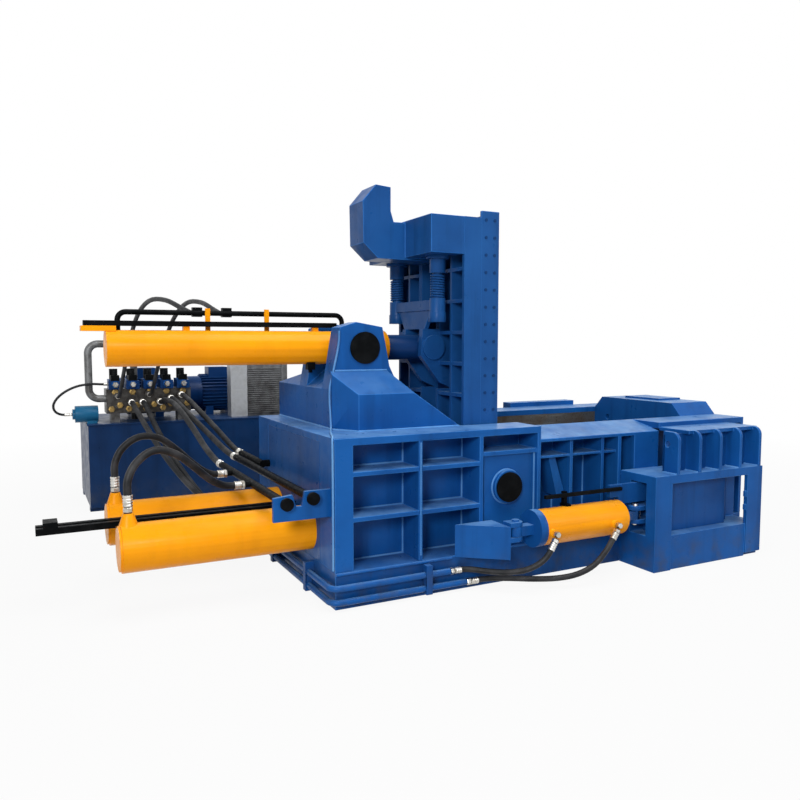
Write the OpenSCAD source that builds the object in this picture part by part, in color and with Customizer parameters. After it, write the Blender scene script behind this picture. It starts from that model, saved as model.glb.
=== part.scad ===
// Hydraulic scrap-metal baling press: a hinged lid, a main ram, a side ram and a sliding discharge gate.
// Origin on the floor under the lid hinge axis, on the press's middle plane; X along the press, +Z up.

/* [Chamber] */
// Hinge axis to the face of the end wall
chamber_l = 1870; // [1820:10:1950]
// Inside width between the side wear plates
chamber_w = 1000; // [960:10:1040]
// Height of the closed chamber over its floor
bale_h = 290; // [280:5:310]
// Length of the bale pocket in front of the side ram
bale_l = 730; // [700:5:760]
// Thickness of the floor wear plate
floor_t = 20; // [12:1:30]
// Thickness of the side wear plates
liner_t = 30; // [20:1:40]

/* [Frame] */
// Hinge axis to the left end of the frame
frame_l = 1250; // [1230:5:1300]
// Height of the base plinth
base_h = 225; // [210:5:240]
// Height of the left top plates that carry the tower
frame_h = 1030; // [1020:5:1060]
// Height of the chamber's rim
rim_h = 1000; // [980:5:1015]
// Thickness of the top plates
top_t = 45; // [30:1:50]
// Thickness of the wall skins
skin_t = 30; // [20:1:40]
// Depth of the outer ribs
rib_depth = 220; // [200:5:240]
// Thickness of the outer ribs
rib_t = 28; // [20:1:35]
// Width of the left corner posts
post_w = 120; // [100:5:140]
// Hinge axis to the two grid ribs
grid_rib_x = 222; // [210:2:240]
// Spacing of the grid ribs
grid_pitch = 450; // [430:5:460]
// Hinge axis to the end plate of the bearing panel
panel_end = 258; // [240:2:270]
// Height of the lower grid shelf
shelf_low_z = 534; // [500:2:560]
// Height of the upper grid shelf
shelf_high_z = 810; // [780:2:840]
// Length of the end wall beam
end_l = 400; // [360:10:420]
// Height of the end wall's cross beam
hump_h = 1098; // [1080:2:1120]
// Drop of the apron's outer edge below the rim
apron_drop = 60; // [40:2:80]

/* [Discharge portal] */
// Width of the two posts
portal_post = 160; // [140:5:170]
// Thickness of the posts and the top beam
portal_t = 90; // [80:2:100]
// Width of the slot that the gate slides in
slot_w = 150; // [140:2:170]
// Height of the slot and the window
slot_h = 370; // [360:5:385]
// Thickness of the guide block behind the gate
guide_t = 100; // [90:2:110]
// Depth of the top beam under the gill plates
beam_h = 58; // [50:2:70]
// Number of gill plates
gill_n = 5; // [4:1:6]
// Thickness of a gill plate
gill_t = 26; // [20:1:32]
// Depth of a gill plate
gill_depth = 140; // [130:5:150]
// Height of the gill plates' top edges
gill_top = 968; // [950:2:980]
// Radius of a gill plate's front corner
gill_r = 60; // [40:2:80]

/* [Tower and lid cylinder] */
// Hinge axis back to the trunnion axis
trunnion_x = 836; // [820:2:850]
// Height of the trunnion axis and of the lid lug's pin
trunnion_z = 1560; // [1550:2:1580]
// Radius of the trunnion pins
trunnion_r = 75; // [65:1:80]
// Gap between the tower's cheeks
cheek_gap = 300; // [296:2:320]
// Thickness of a tower cheek
cheek_t = 150; // [130:5:160]
// Outer width of the tower's hoods
hood_w = 1020; // [980:10:1040]
// Height of the hoods' crease
hood_crease_z = 1265; // [1240:5:1290]
// Outside diameter of the lid cylinder
lid_barrel_d = 224; // [216:2:232]
// Bore of the lid cylinder
lid_bore_d = 180; // [170:2:186]
// Diameter of the lid cylinder's rod
lid_rod_d = 130; // [120:2:140]
// Length of the lid cylinder behind its trunnion
lid_barrel_back = 1579; // [1560:5:1640]
// Length of the lid cylinder in front of its trunnion
lid_barrel_front = 236; // [220:2:240]

/* [Lid] */
// Hinge axis to the lid's inner face
lid_face = 100; // [96:1:106]
// Hinge axis to the back of the lid's slab
slab_back = 46; // [40:1:55]
// Hinge axis to the outer edges of the lid's webs
web_back = 182; // [175:1:190]
// Gap between the lid's sides and the wear plates
lid_side_gap = 10; // [8:1:14]
// Gap between the closed lid's tip and the end wall
lid_tip_gap = 17; // [14:1:25]
// Thickness of the lid's inner wear plate
face_t = 30; // [20:1:36]
// Width of the bolted side strips
strip_w = 25; // [20:1:30]
// Radius of the hinge shaft
shaft_r = 70; // [60:1:76]
// Hinge axis to the lug's pin, square to the lid
lug_x = 236; // [230:2:242]
// Radius of the rod eye
eye_r = 95; // [88:1:96]
// Width of the rod eye
eye_w = 190; // [170:2:200]
// Gap on each side of the rod eye
ear_gap = 10; // [8:1:14]
// Thickness of the lug's ears
ear_t = 50; // [40:1:60]
// Half the spacing of the two spring columns
column_y = 310; // [290:5:320]
// Hinge axis to the spring columns
column_x = 289; // [280:2:300]
// Outer radius of the spring columns
column_r = 55; // [50:1:60]
// Half the width of the beak
beak_half = 118; // [105:1:130]

/* [Main and side rams] */
// Half the spacing of the main cylinders
main_y = 330; // [320:2:335]
// Height of the main cylinders' axes
main_z = 410; // [400:1:414]
// Outside diameter of the main cylinders
main_d = 284; // [270:2:290]
// Bore of the main cylinders
main_bore_d = 220; // [200:2:230]
// Rod diameter of the main cylinders
main_rod_d = 150; // [130:2:160]
// Hinge axis to the closed ends of the main cylinders
main_back = 2410; // [2400:5:2440]
// Length of the ram head
ram_l = 815; // [780:5:830]
// Gap over the ram head
ram_gap = 10; // [8:1:14]
// Outside diameter of the side cylinder
side_d = 270; // [260:2:280]
// Bore of the side cylinder
side_bore_d = 210; // [200:2:220]
// Rod diameter of the side cylinder
side_rod_d = 150; // [130:2:160]
// Middle plane to the closed end of the side cylinder
side_back = 2260; // [2250:5:2300]
// Length of the side ram's head
side_head_l = 355; // [340:5:370]

/* [Discharge gate] */
// Thickness of the gate
gate_t = 120; // [110:2:130]
// Height of the gate cylinder's axis
gate_z = 388; // [380:2:394]
// Outside diameter of the gate cylinder
gate_barrel_d = 236; // [220:2:240]
// Rod diameter of the gate cylinder
gate_rod_d = 100; // [90:2:110]
// Gap between the gate cylinder's gland and the closed gate
gate_gap = 290; // [280:2:310]
// Length of the gate cylinder's barrel
gate_barrel_l = 700; // [680:5:720]

/* [Power unit] */
// Middle plane to the front of the oil tank
tank_y = 2600; // [2560:10:2700]
// Length of the oil tank
tank_l = 2030; // [1980:10:2100]
// Depth of the oil tank
tank_w = 1100; // [1000:10:1200]
// Height of the oil tank
tank_h = 832; // [800:4:850]
// Hinge axis to the left end of the oil tank
tank_x = 2350; // [2340:2:2380]

/* [Hidden] */
$fn = 48;

// Running clearance of pins, rods and pistons, on the radius
fit = 0.05;
// Seat clearance of sliding heads
seat = 0.3;

half_in = chamber_w / 2;
skin_y = half_in + liner_t;
rib_y = skin_y + skin_t;
half_w = rib_y + rib_depth;
floor_z = base_h + floor_t;
hinge_z = floor_z + bale_h + lid_face;
top_z = frame_h - top_t;
rim_z = rim_h - top_t;
end_x = chamber_l + end_l;
window_x0 = chamber_l - bale_l;
window_over = 36;
window_x1 = chamber_l + window_over;
portal_x0 = window_x0 - portal_post;
portal_x1 = window_x1 + portal_post;
slot_y0 = half_w + guide_t;
slot_y1 = slot_y0 + slot_w;
portal_y = slot_y1 + portal_t;
slot_z = floor_z + slot_h;
beam_z = slot_z + beam_h;
gate_y = -(slot_y0 + slot_w / 2);
gate_x0 = window_x0 - 50;
gate_barrel_end = gate_x0 - gate_gap;
gate_barrel_x = gate_barrel_end - gate_barrel_l;
gate_ports = [gate_barrel_x + 35, gate_barrel_x + 555];
tunnel_h = bale_h + 20;
jamb_t = 60;
cap_t = 12;

blue = "#1c4f9c";
deep_blue = "#14386f";
yellow = "#f0a213";
black = "#17181a";
silver = "#b9bcc0";
worn = "#6d6a60";
grey = "#8d9298";

// Box between two opposite corners
module block(a, b) {
    translate(a) cube(b - a);
}

// Round bar along X, Y or Z between two stations
module bar_x(x0, x1, y, z, r) {
    translate([x0, y, z]) rotate([0, 90, 0]) cylinder(h = x1 - x0, r = r);
}

module bar_y(y0, y1, x, z, r) {
    translate([x, y0, z]) rotate([-90, 0, 0]) cylinder(h = y1 - y0, r = r);
}

module bar_z(z0, z1, x, y, r) {
    translate([x, y, z0]) cylinder(h = z1 - z0, r = r);
}

// Round bar between any two points
module bar(p, q, r) {
    v = q - p;
    translate(p) rotate([0, acos(v[2] / norm(v)), atan2(v[1], v[0])]) cylinder(h = norm(v), r = r);
}

// Flat outline in the X-Z plane, given thickness from y0 to y1
module plate_xz(outline, y0, y1) {
    translate([0, y1, 0]) rotate([90, 0, 0]) linear_extrude(y1 - y0) polygon(outline);
}

// Flat outline in the Y-Z plane, given length from x0 to x1
module plate_yz(outline, x0, x1) {
    translate([x0, 0, 0]) rotate([90, 0, 90]) linear_extrude(x1 - x0) polygon(outline);
}

// The same piece on both sides of the middle plane
module both_sides() {
    children();
    mirror([0, 1, 0]) children();
}

function unit(v) = v / norm(v);

// Directions of a route at its inner points, and sideways vectors carried along them without twist
function headings(route) = [
    for (i = [1 : len(route) - 2])
        i == 1 ? unit(route[1] - route[0])
        : i == len(route) - 2 ? unit(route[i + 1] - route[i])
        : unit(route[i + 1] - route[i - 1])
];
function carried(dirs, i, side) = i == len(dirs) ? [] :
    let (w = unit(side - (side * dirs[i]) * dirs[i])) concat([w], carried(dirs, i + 1, w));

// Hose swept through the inner points of a route; the first and last stretches are its end fittings
module hose(route, r, sides = 10) {
    dirs = headings(route);
    across = carried(dirs, 0, unit([0.6, 0.5, 0.4]));
    rings = len(dirs);
    points = [
        for (i = [0 : rings - 1], k = [0 : sides - 1])
            let (u = across[i], v = cross(dirs[i], u), a = 360 * k / sides)
            route[i + 1] + r * (cos(a) * u + sin(a) * v)
    ];
    walls = [
        for (i = [0 : rings - 2], k = [0 : sides - 1])
            let (a = i * sides + k, b = i * sides + (k + 1) % sides)
            [a, a + sides, b + sides, b]
    ];
    ends = [
        [for (k = [0 : sides - 1]) k],
        [for (k = [0 : sides - 1]) rings * sides - 1 - k]
    ];
    polyhedron(points, concat(walls, ends), convexity = 6);
}

// Crimped sleeve with a hexagonal nut on the first or last stretch of a route
module ferrule(from, to, r) {
    nut = from + (to - from) * 0.35;
    bar(nut, to, r);
    bar(from, nut, r * 0.8);
}

// Base plinth
module base_frame() {
    color(deep_blue) block([-frame_l, -half_w, 0], [end_x, half_w, base_h]);
}

// Ribbed side wall, drawn for the rear; the front one carries the apron
bearing_y = half_w - 40;
bearing_top = 880;
boss_r = 112;
boss_l = 35;
recess_n = 2;
recess_end = 152;
recess_pitch = (portal_x0 - panel_end - recess_end) / recess_n;
fascia_l = 240;
fascia_x0 = portal_x0 + 128;
module side_wall(front) {
    difference() {
        union() {
            block([-frame_l, skin_y, base_h], [panel_end, rib_y, top_z]);
            block([panel_end, skin_y, base_h], [end_x, rib_y, rim_z]);
            block([-frame_l, rib_y, base_h], [-frame_l + post_w, half_w, top_z]);
            for (x = [-grid_rib_x - grid_pitch, -grid_rib_x])
                block([x - rib_t / 2, rib_y, base_h], [x + rib_t / 2, half_w, top_z]);
            for (z = [shelf_low_z, shelf_high_z])
                block([-frame_l + post_w, rib_y, z - rib_t / 2], [-grid_rib_x, half_w, z + rib_t / 2]);
            block([-frame_l, half_in, top_z], [panel_end, half_w, frame_h]);
            bearing_panel();
            recess_ribs(front);
            bale_tunnel();
            if (front) apron();
            else block([panel_end, half_in, rim_z], [end_x, half_w, rim_h]);
        }
        bar_y(skin_y - 1, half_w + boss_l, 0, hinge_z, shaft_r + fit);
        block([window_x0, skin_y - 1, floor_z], [chamber_l, half_w + 1, floor_z + tunnel_h]);
    }
}

// Bearing panel with its round boss and the end plate beside it
module bearing_panel() {
    left = -grid_rib_x + 45;
    block([left, rib_y, base_h], [panel_end - rib_t, bearing_y, bearing_top]);
    block([left - 20, rib_y, bearing_top - rib_t], [panel_end - rib_t, half_w - 15, bearing_top]);
    block([panel_end - rib_t, rib_y, base_h], [panel_end, half_w, top_z]);
    bar_y(bearing_y, bearing_y + boss_l, 0, hinge_z, boss_r);
}

// Ribs of the recess beside the gate cylinder, with a shelf and a curved gusset
module recess_ribs(front) {
    for (k = [1 : recess_n]) {
        x = panel_end + k * recess_pitch;
        block([x - rib_t / 2, rib_y, base_h], [x + rib_t / 2, half_w - 25, rim_z - 20]);
    }
    block([panel_end, rib_y, shelf_high_z - 8], [portal_x0, half_w - 30, shelf_high_z + 8]);
    block([portal_x0 - rib_t, rib_y, base_h], [portal_x0, half_w, rim_z - 20]);
    block([end_x - rib_t, rib_y, base_h], [end_x, half_w, rim_z]);
    x = panel_end + recess_pitch;
    gusset = [[x - 14, 520], [x - 90, 520], [x - 165, shelf_high_z - 8], [x - 110, shelf_high_z - 8]];
    plate_xz(gusset, rib_y, half_w - 70);
}

// Thick frame round the bale's way through the wall
module bale_tunnel() {
    block([window_x0 - jamb_t, rib_y, base_h], [chamber_l + jamb_t, half_w, slot_z]);
}

// Sloping cover plate over the recess, flat past it, with a fascia below its right end
module apron() {
    low = rim_h - apron_drop;
    bend = fascia_x0 + fascia_l;
    slope = [[half_w, low - 22], [half_w, low], [half_in, rim_h], [half_in, rim_z], [skin_y, rim_z]];
    plate_yz(slope, panel_end, bend);
    block([bend, half_in, rim_z], [end_x, half_w, rim_h]);
    block([fascia_x0, half_w - rib_t, slot_z], [bend, half_w, low - 15]);
    block([fascia_x0, rib_y, slot_z], [fascia_x0 + rib_t, half_w, low - 30]);
}

module front_wall() {
    color(blue) mirror([0, 1, 0]) side_wall(true);
}

module rear_wall() {
    color(blue) side_wall(false);
}

// Left end plate with the openings for both main cylinders and the travel bars
end_plate_t = 60;
bar_w = 40;
bar_z0 = 470;
module left_end_plate() {
    color(deep_blue) difference() {
        block([-frame_l, -skin_y, base_h], [-frame_l + end_plate_t, skin_y, top_z]);
        for (y = [-main_y, main_y])
            bar_x(-frame_l - 1, -frame_l + end_plate_t + 1, y, main_z, main_d / 2 + fit);
        block([-frame_l - 1, -2 * bar_w, bar_z0 - 15],
            [-frame_l + end_plate_t + 1, 2 * bar_w, bar_z0 + bar_w + 15]);
    }
}

// Deck between the top plates under the tower
deck_end = web_back + 18;
module deck_plate() {
    color(blue) block([-frame_l, -half_in, top_z], [-deck_end, half_in, frame_h]);
}

// Roof of the ram's channel, laid on the side wear plates behind the lid's knuckle
cover_t = 30;
module ram_channel_cover() {
    z = floor_z + bale_h;
    color(deep_blue) block([-frame_l + end_plate_t + 90, -skin_y, z], [-lid_face - 15, skin_y, z + cover_t]);
}

// Floor wear plate
module chamber_floor() {
    color(worn) block([-frame_l + end_plate_t, -skin_y, base_h], [chamber_l, skin_y, floor_z]);
}

// Side wear plate: a low guide beside the ram and a full-height plate in the chamber
liner_x0 = lid_face + 30;
module side_liner() {
    difference() {
        union() {
            block([-frame_l + end_plate_t, half_in, floor_z], [chamber_l, skin_y, floor_z + bale_h]);
            block([liner_x0, half_in, floor_z], [chamber_l, skin_y, rim_z]);
        }
        block([window_x0, half_in - 1, floor_z - 1], [chamber_l + 1, skin_y + 1, floor_z + tunnel_h]);
    }
}

module front_liner() {
    color(worn) mirror([0, 1, 0]) side_liner();
}

module rear_liner() {
    color(worn) side_liner();
}

// End wall with its humped cross beam, a lifting hole and the lock's rest pad
pad_t = 16;
module end_wall() {
    outline = [
        [-skin_y, base_h], [skin_y, base_h], [skin_y, rim_z], [half_in, rim_z], [half_in, rim_h],
        [half_in - 92, hump_h], [92 - half_in, hump_h], [-half_in, rim_h], [-half_in, rim_z], [-skin_y, rim_z]
    ];
    color(blue) difference() {
        union() {
            plate_yz(outline, chamber_l, end_x);
            block([chamber_l + 120, -160, hump_h], [end_x - 30, 240, hump_h + pad_t]);
        }
        bar_x(chamber_l - 1, chamber_l + 80, half_in - 165, hump_h - 178, 24);
    }
}

// Discharge portal: sill, left post, top beam, guide block behind the gate, and the right post, a plate with
// two stop lugs that leaves the slot open for the gate
right_post_y = -portal_y + 30;
stop_t = 14;
stop_h = 44;
stop_z = [floor_z + 105, floor_z + 205];
module discharge_portal() {
    color(blue) difference() {
        union() {
            block([portal_x0, -portal_y, 0], [window_x0, -slot_y1, beam_z]);
            block([window_x1, -portal_y, 25], [portal_x1, right_post_y, beam_z]);
            block([window_x0, -portal_y + 12, 0], [window_x1, -slot_y1, floor_z]);
            block([window_x1, right_post_y, 0], [portal_x1, -slot_y1, floor_z]);
            block([portal_x0, -slot_y1, 0], [portal_x1, -half_w, floor_z]);
            block([portal_x0, -portal_y, slot_z], [portal_x1, -half_w, beam_z]);
            block([portal_x0, -slot_y0, floor_z], [portal_x1, -half_w, slot_z]);
            for (z = stop_z)
                block([window_x1 - stop_t, -portal_y + 5, z], [window_x1, right_post_y - 5, z + stop_h]);
        }
        block([window_x0, -slot_y0 - 1, floor_z], [chamber_l, -half_w + 1, floor_z + tunnel_h]);
    }
}

// Gill plates on the portal's beam, the first one with a lifting hole, and the cover over the others
gill_x0 = window_x0 + 42;
gill_x1 = portal_x1 - gill_t - 20;
gill_cover_t = 26;
lift_hole_r = 22;
module gill(x) {
    z0 = beam_z;
    translate([x, -portal_y, 0]) rotate([90, 0, 90]) linear_extrude(gill_t) {
        translate([0, z0]) square([gill_depth, gill_top - z0 - gill_r]);
        translate([gill_r, gill_top - gill_r]) square([gill_depth - gill_r, gill_r]);
        translate([gill_r, gill_top - gill_r]) circle(gill_r);
    }
}

module portal_gills() {
    gill_pitch = (gill_x1 - gill_x0) / (gill_n - 1);
    hole_y = -portal_y + gill_depth - 40;
    color(blue) difference() {
        union() {
            for (k = [0 : gill_n - 1]) gill(gill_x0 + k * gill_pitch);
            block([fascia_x0 + fascia_l, -portal_y + gill_r, gill_top - gill_cover_t],
                [portal_x1, -half_w, gill_top]);
        }
        bar_x(gill_x0 - 1, gill_x0 + gill_t + 1, hole_y, gill_top - 90, lift_hole_r);
    }
}

// Tower: on each side a trunnion cheek and the hood that spreads its load, drawn for the rear
cheek_y0 = cheek_gap / 2;
cheek_y1 = cheek_y0 + cheek_t;
tower_left = trunnion_x + 247;
tower_right = 223;
hood_roof_z = trunnion_z - 150;
shoulder_z = trunnion_z - 270;
shoulder_x = -trunnion_x - 104;
module cheek() {
    outline = [
        [-tower_left, frame_h], [-tower_left, shoulder_z], [-trunnion_x - 176, trunnion_z + 135],
        [-trunnion_x - 59, trunnion_z + 170], [-trunnion_x + 131, trunnion_z + 138],
        [-trunnion_x + 183, trunnion_z - 123], [-trunnion_x + 265, hood_crease_z], [-tower_right, frame_h]
    ];
    difference() {
        plate_xz(outline, cheek_y0, cheek_y1);
        bar_y(cheek_y0 - 1, cheek_y1 + 1, -trunnion_x, trunnion_z, trunnion_r + fit);
    }
}

module hood(front, reach, crease, plan) {
    side = [[cheek_y1, frame_h], [reach, frame_h], [reach, crease], [cheek_y1, hood_roof_z]];
    intersection() {
        plate_xz(front, cheek_y1, reach);
        plate_yz(side, -tower_left, -tower_right);
        translate([0, 0, frame_h]) linear_extrude(trunnion_z - frame_h) polygon(plan);
    }
}

// Front side, with its left corner cut off
module front_tower() {
    front = [
        [-tower_left, frame_h], [-tower_left, hood_roof_z], [-trunnion_x + 160, hood_roof_z],
        [-trunnion_x + 265, hood_crease_z], [-tower_right, frame_h]
    ];
    plan = [
        [-tower_left, cheek_y1], [-tower_left, cheek_y1 + 30], [-tower_left + 109, hood_w / 2],
        [-tower_right, hood_w / 2], [-tower_right, cheek_y1]
    ];
    color(blue) mirror([0, 1, 0]) {
        cheek();
        hood(front, hood_w / 2, hood_crease_z, plan);
    }
}

// Rear side, spread over the whole wall, and the box that closes the tower's left end between the cheeks
module rear_tower() {
    front = [
        [-tower_left, frame_h], [-tower_left, shoulder_z], [shoulder_x, hood_roof_z],
        [-trunnion_x + 160, hood_roof_z], [-trunnion_x + 265, hood_crease_z], [-tower_right, frame_h]
    ];
    plan = [
        [-tower_left, cheek_y1], [-tower_left, half_w], [-tower_right, half_w], [-tower_right, cheek_y1]
    ];
    end_box = [
        [-tower_left, frame_h], [-tower_left, shoulder_z], [shoulder_x, hood_roof_z], [shoulder_x, frame_h]
    ];
    color(blue) {
        cheek();
        hood(front, half_w, shoulder_z, plan);
        plate_xz(end_box, -cheek_y0, cheek_y0);
    }
}

// Hinge shaft, its end caps and the trunnion caps
shaft_end = half_w - 5;
module hinge_shaft() {
    color(silver) bar_y(-shaft_end, shaft_end, 0, hinge_z, shaft_r);
}

module hinge_caps() {
    color(black) both_sides() bar_y(shaft_end, shaft_end + cap_t, 0, hinge_z, boss_r - 12);
}

module trunnion_caps() {
    color(black) both_sides() bar_y(cheek_y1, cheek_y1 + cap_t, -trunnion_x, trunnion_z, trunnion_r + 31);
}

// Main cylinder: closed barrel, flange behind the end plate, gland and port boss
main_r = main_d / 2;
main_cap = 60;
main_front = frame_l - end_plate_t - 60;
module main_cylinder(y) {
    port_x = -main_back + 60;
    difference() {
        union() {
            bar_x(-main_back + 14, -main_front, y, main_z, main_r);
            bar_x(-main_back, -main_back + 14, y, main_z, main_r - 10);
            bar_x(-frame_l + end_plate_t, -frame_l + end_plate_t + 40, y, main_z, main_r + 22);
            translate([port_x, y, main_z + main_r - 12]) cylinder(h = 75, r1 = 55, r2 = 30);
        }
        bar_x(-main_back + main_cap, -main_front - 50, y, main_z, main_bore_d / 2);
        bar_x(-main_front - 51, -main_front + 1, y, main_z, main_rod_d / 2 + fit);
    }
}

module main_cylinders() {
    color(yellow) for (y = [-main_y, main_y]) main_cylinder(y);
}

// Ram head on the chamber floor, its two rods with pistons, and the travel bars
ram_face = lid_face + 15;
ram_top = floor_z + bale_h - ram_gap;
ram_back = ram_face - ram_l;
piston_l = 80;
module main_ram_head() {
    color(worn) difference() {
        block([ram_back, -half_in + ram_gap, floor_z + seat], [ram_face, half_in - ram_gap, ram_top]);
        block([ram_back - 1, -half_in + 90, floor_z + 50], [ram_face - 90, -main_y - 120, ram_top - 50]);
        block([ram_back - 1, main_y + 120, floor_z + 50], [ram_face - 90, half_in - 90, ram_top - 50]);
    }
}

module main_rods() {
    piston_x = -main_back + main_cap + 10;
    color(silver) for (y = [-main_y, main_y]) {
        bar_x(piston_x + piston_l, ram_back, y, main_z, main_rod_d / 2);
        bar_x(piston_x, piston_x + piston_l, y, main_z, main_bore_d / 2 - fit);
    }
}

bar_tail = 420;
module travel_bars() {
    x0 = -main_back - bar_tail;
    color(black) {
        for (y = [-1.5 * bar_w, 0.5 * bar_w])
            block([x0, y, bar_z0], [ram_back, y + bar_w, bar_z0 + bar_w]);
        block([x0 + 40, -1.5 * bar_w, bar_z0 + bar_w], [x0 + 120, 1.5 * bar_w, bar_z0 + bar_w + 32]);
    }
}

// Side ram behind the rear wall: guide housing, cylinder, stand, head and rod
side_x = chamber_l - bale_l / 2;
housing_l = 180;
flange_t = 40;
guard_t = 120;
guard_over = 40;
housing_y = half_w + housing_l;
side_z = floor_z + bale_h / 2;
module side_ram_housing() {
    color(blue) difference() {
        union() {
            block([window_x0 - jamb_t, half_w, 0], [chamber_l + jamb_t, housing_y + flange_t, slot_z]);
            block([window_x0 - 25, half_w, slot_z], [chamber_l - 20, half_w + guard_t, rim_h + guard_over]);
        }
        block([window_x0, half_w - 1, floor_z], [chamber_l, housing_y, floor_z + tunnel_h]);
        bar_y(housing_y - 1, housing_y + flange_t + 1, side_x, side_z, side_rod_d / 2 + 8);
    }
}

module side_cylinder() {
    y0 = housing_y + flange_t;
    color(yellow) difference() {
        union() {
            bar_y(y0, side_back, side_x, side_z, side_d / 2);
            bar_y(y0, y0 + 45, side_x, side_z, side_d / 2 + 35);
        }
        bar_y(y0 + 50, side_back - 60, side_x, side_z, side_bore_d / 2);
        bar_y(y0 - 1, y0 + 51, side_x, side_z, side_rod_d / 2 + fit);
    }
}

module side_stand() {
    y0 = side_back - 260;
    color(blue) difference() {
        union() {
            block([side_x - 150, y0, 0], [side_x + 150, y0 + 80, 20]);
            block([side_x - 110, y0 + 10, 20], [side_x + 110, y0 + 70, side_z - 40]);
        }
        bar_y(y0 - 1, y0 + 81, side_x, side_z, side_d / 2 + fit);
    }
}

module side_ram_head() {
    y0 = half_in + 5;
    color(worn) block([window_x0 + 8, y0, floor_z + seat], [chamber_l - 8, y0 + side_head_l, ram_top]);
}

module side_rod() {
    y0 = half_in + 5 + side_head_l;
    y1 = side_back - 60 - 20;
    color(silver) {
        bar_y(y0, y1 - piston_l, side_x, side_z, side_rod_d / 2);
        bar_y(y1 - piston_l, y1, side_x, side_z, side_bore_d / 2 - fit);
    }
}

// Slanted box bracket that holds the gate cylinder's tail lugs
tail_pin_x = gate_barrel_x - 175;
bracket_x1 = tail_pin_x - 67;
bracket_l = 280;
bracket_h = 212;
bracket_z0 = gate_z - 172;
lug_half = 45;
lug_gap = 34;
lug_t = 28;
module gate_bracket() {
    plan = [
        [bracket_x1 - bracket_l, -half_w], [bracket_x1, gate_y - lug_half], [bracket_x1, -half_w]
    ];
    color(blue) {
        translate([0, 0, bracket_z0]) linear_extrude(bracket_h) polygon(plan);
        for (s = [-1, 1]) difference() {
            union() {
                z = gate_z + s * (lug_gap + lug_t / 2) - lug_t / 2;
                block([bracket_x1, gate_y - lug_half, z], [tail_pin_x, gate_y + lug_half, z + lug_t]);
                bar_z(z, z + lug_t, tail_pin_x, gate_y, lug_half);
            }
            bar_z(gate_z - 100, gate_z + 100, tail_pin_x, gate_y, 24 + fit);
        }
        bar_z(gate_z - lug_gap - lug_t - 12, gate_z + lug_gap + lug_t + 12, tail_pin_x, gate_y, 24);
    }
}

// Gate cylinder: tail eye, blue end cap, barrel, gland and two port bosses
gate_r = gate_barrel_d / 2;
gate_bore_r = gate_r - 23;
gate_gland = 35;
gate_cap_t = 55;
tail_half = lug_gap - 2;
port_z = gate_z - 14;
module gate_cylinder() {
    color(yellow) difference() {
        union() {
            bar_x(gate_barrel_x, gate_barrel_end - 10, gate_y, gate_z, gate_r);
            bar_x(gate_barrel_end - 10, gate_barrel_end, gate_y, gate_z, gate_r - 8);
            bar_x(gate_barrel_x - gate_cap_t, gate_barrel_x, gate_y, gate_z, gate_r + 4);
            for (x = gate_ports) bar_y(gate_y - gate_r - 22, gate_y - gate_r + 12, x, port_z, 30);
            block([tail_pin_x, gate_y - 35, gate_z - tail_half],
                [gate_barrel_x - gate_cap_t, gate_y + 35, gate_z + tail_half]);
            bar_z(gate_z - tail_half, gate_z + tail_half, tail_pin_x, gate_y, 44);
        }
        bar_z(gate_z - 100, gate_z + 100, tail_pin_x, gate_y, 24 + fit);
        bar_x(gate_barrel_x + 20, gate_barrel_end - gate_gland, gate_y, gate_z, gate_bore_r);
        bar_x(gate_barrel_end - gate_gland - 1, gate_barrel_end + 1, gate_y, gate_z, gate_rod_d / 2 + fit);
    }
}

// Gate rod with its piston and flat eye, the gate with its clevis, the pin and the travel bar
gate_pin_x = (gate_barrel_end + gate_x0) / 2 + 10;
gate_pin_r = 22;
gate_piston_x0 = gate_barrel_x + 22;
gate_piston_x1 = gate_piston_x0 + 50;
module gate_rod() {
    color(silver) difference() {
        union() {
            bar_x(gate_piston_x0, gate_piston_x1, gate_y, gate_z, gate_bore_r - fit);
            bar_x(gate_piston_x1, gate_barrel_end + 20, gate_y, gate_z, gate_rod_d / 2);
            block([gate_barrel_end + 20, gate_y - 38, gate_z - 30], [gate_pin_x, gate_y + 38, gate_z + 30]);
            bar_z(gate_z - 30, gate_z + 30, gate_pin_x, gate_y, 38);
        }
        bar_z(gate_z - 40, gate_z + 40, gate_pin_x, gate_y, gate_pin_r + fit);
    }
}

// Arm on the gate's end that carries the travel bar over the cylinder
arm_x0 = gate_barrel_end - 70;
arm_y0 = gate_y + 12;
arm_z0 = gate_z + 132;
arm_t = 30;
module gate_plate() {
    y0 = gate_y - gate_t / 2;
    tongue_l = 85;
    gate_x1 = chamber_l + 10;
    z0 = floor_z + seat;
    z1 = slot_z - 6;
    color(blue) difference() {
        union() {
            block([gate_x0, y0, z0], [gate_x1 - tongue_l, y0 + gate_t, z1]);
            block([gate_x1 - tongue_l, gate_y, z0], [gate_x1, y0 + gate_t, z1]);
            block([arm_x0, arm_y0, arm_z0], [gate_x0, arm_y0 + arm_t, z1]);
            block([gate_barrel_end + 10, arm_y0, arm_z0 - 50], [gate_x0, arm_y0 + arm_t, arm_z0]);
            for (s = [-1, 1]) {
                z = gate_z + s * 47 - 15;
                block([gate_pin_x, gate_y - 50, z], [gate_x0, gate_y + 50, z + 30]);
                bar_z(z, z + 30, gate_pin_x, gate_y, 50);
            }
        }
        bar_z(gate_z - 80, gate_z + 80, gate_pin_x, gate_y, gate_pin_r + fit);
    }
}

module gate_pin() {
    color(silver) bar_z(gate_z - 74, gate_z + 74, gate_pin_x, gate_y, gate_pin_r);
}

gate_bar_t = 24;
gate_bar_z = gate_z + gate_r + 64;
module gate_bar() {
    y0 = arm_y0 - gate_bar_t;
    color(black)
        block([gate_barrel_x + 60, y0, gate_bar_z], [arm_x0 + 90, arm_y0, gate_bar_z + gate_bar_t]);
}

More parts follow.
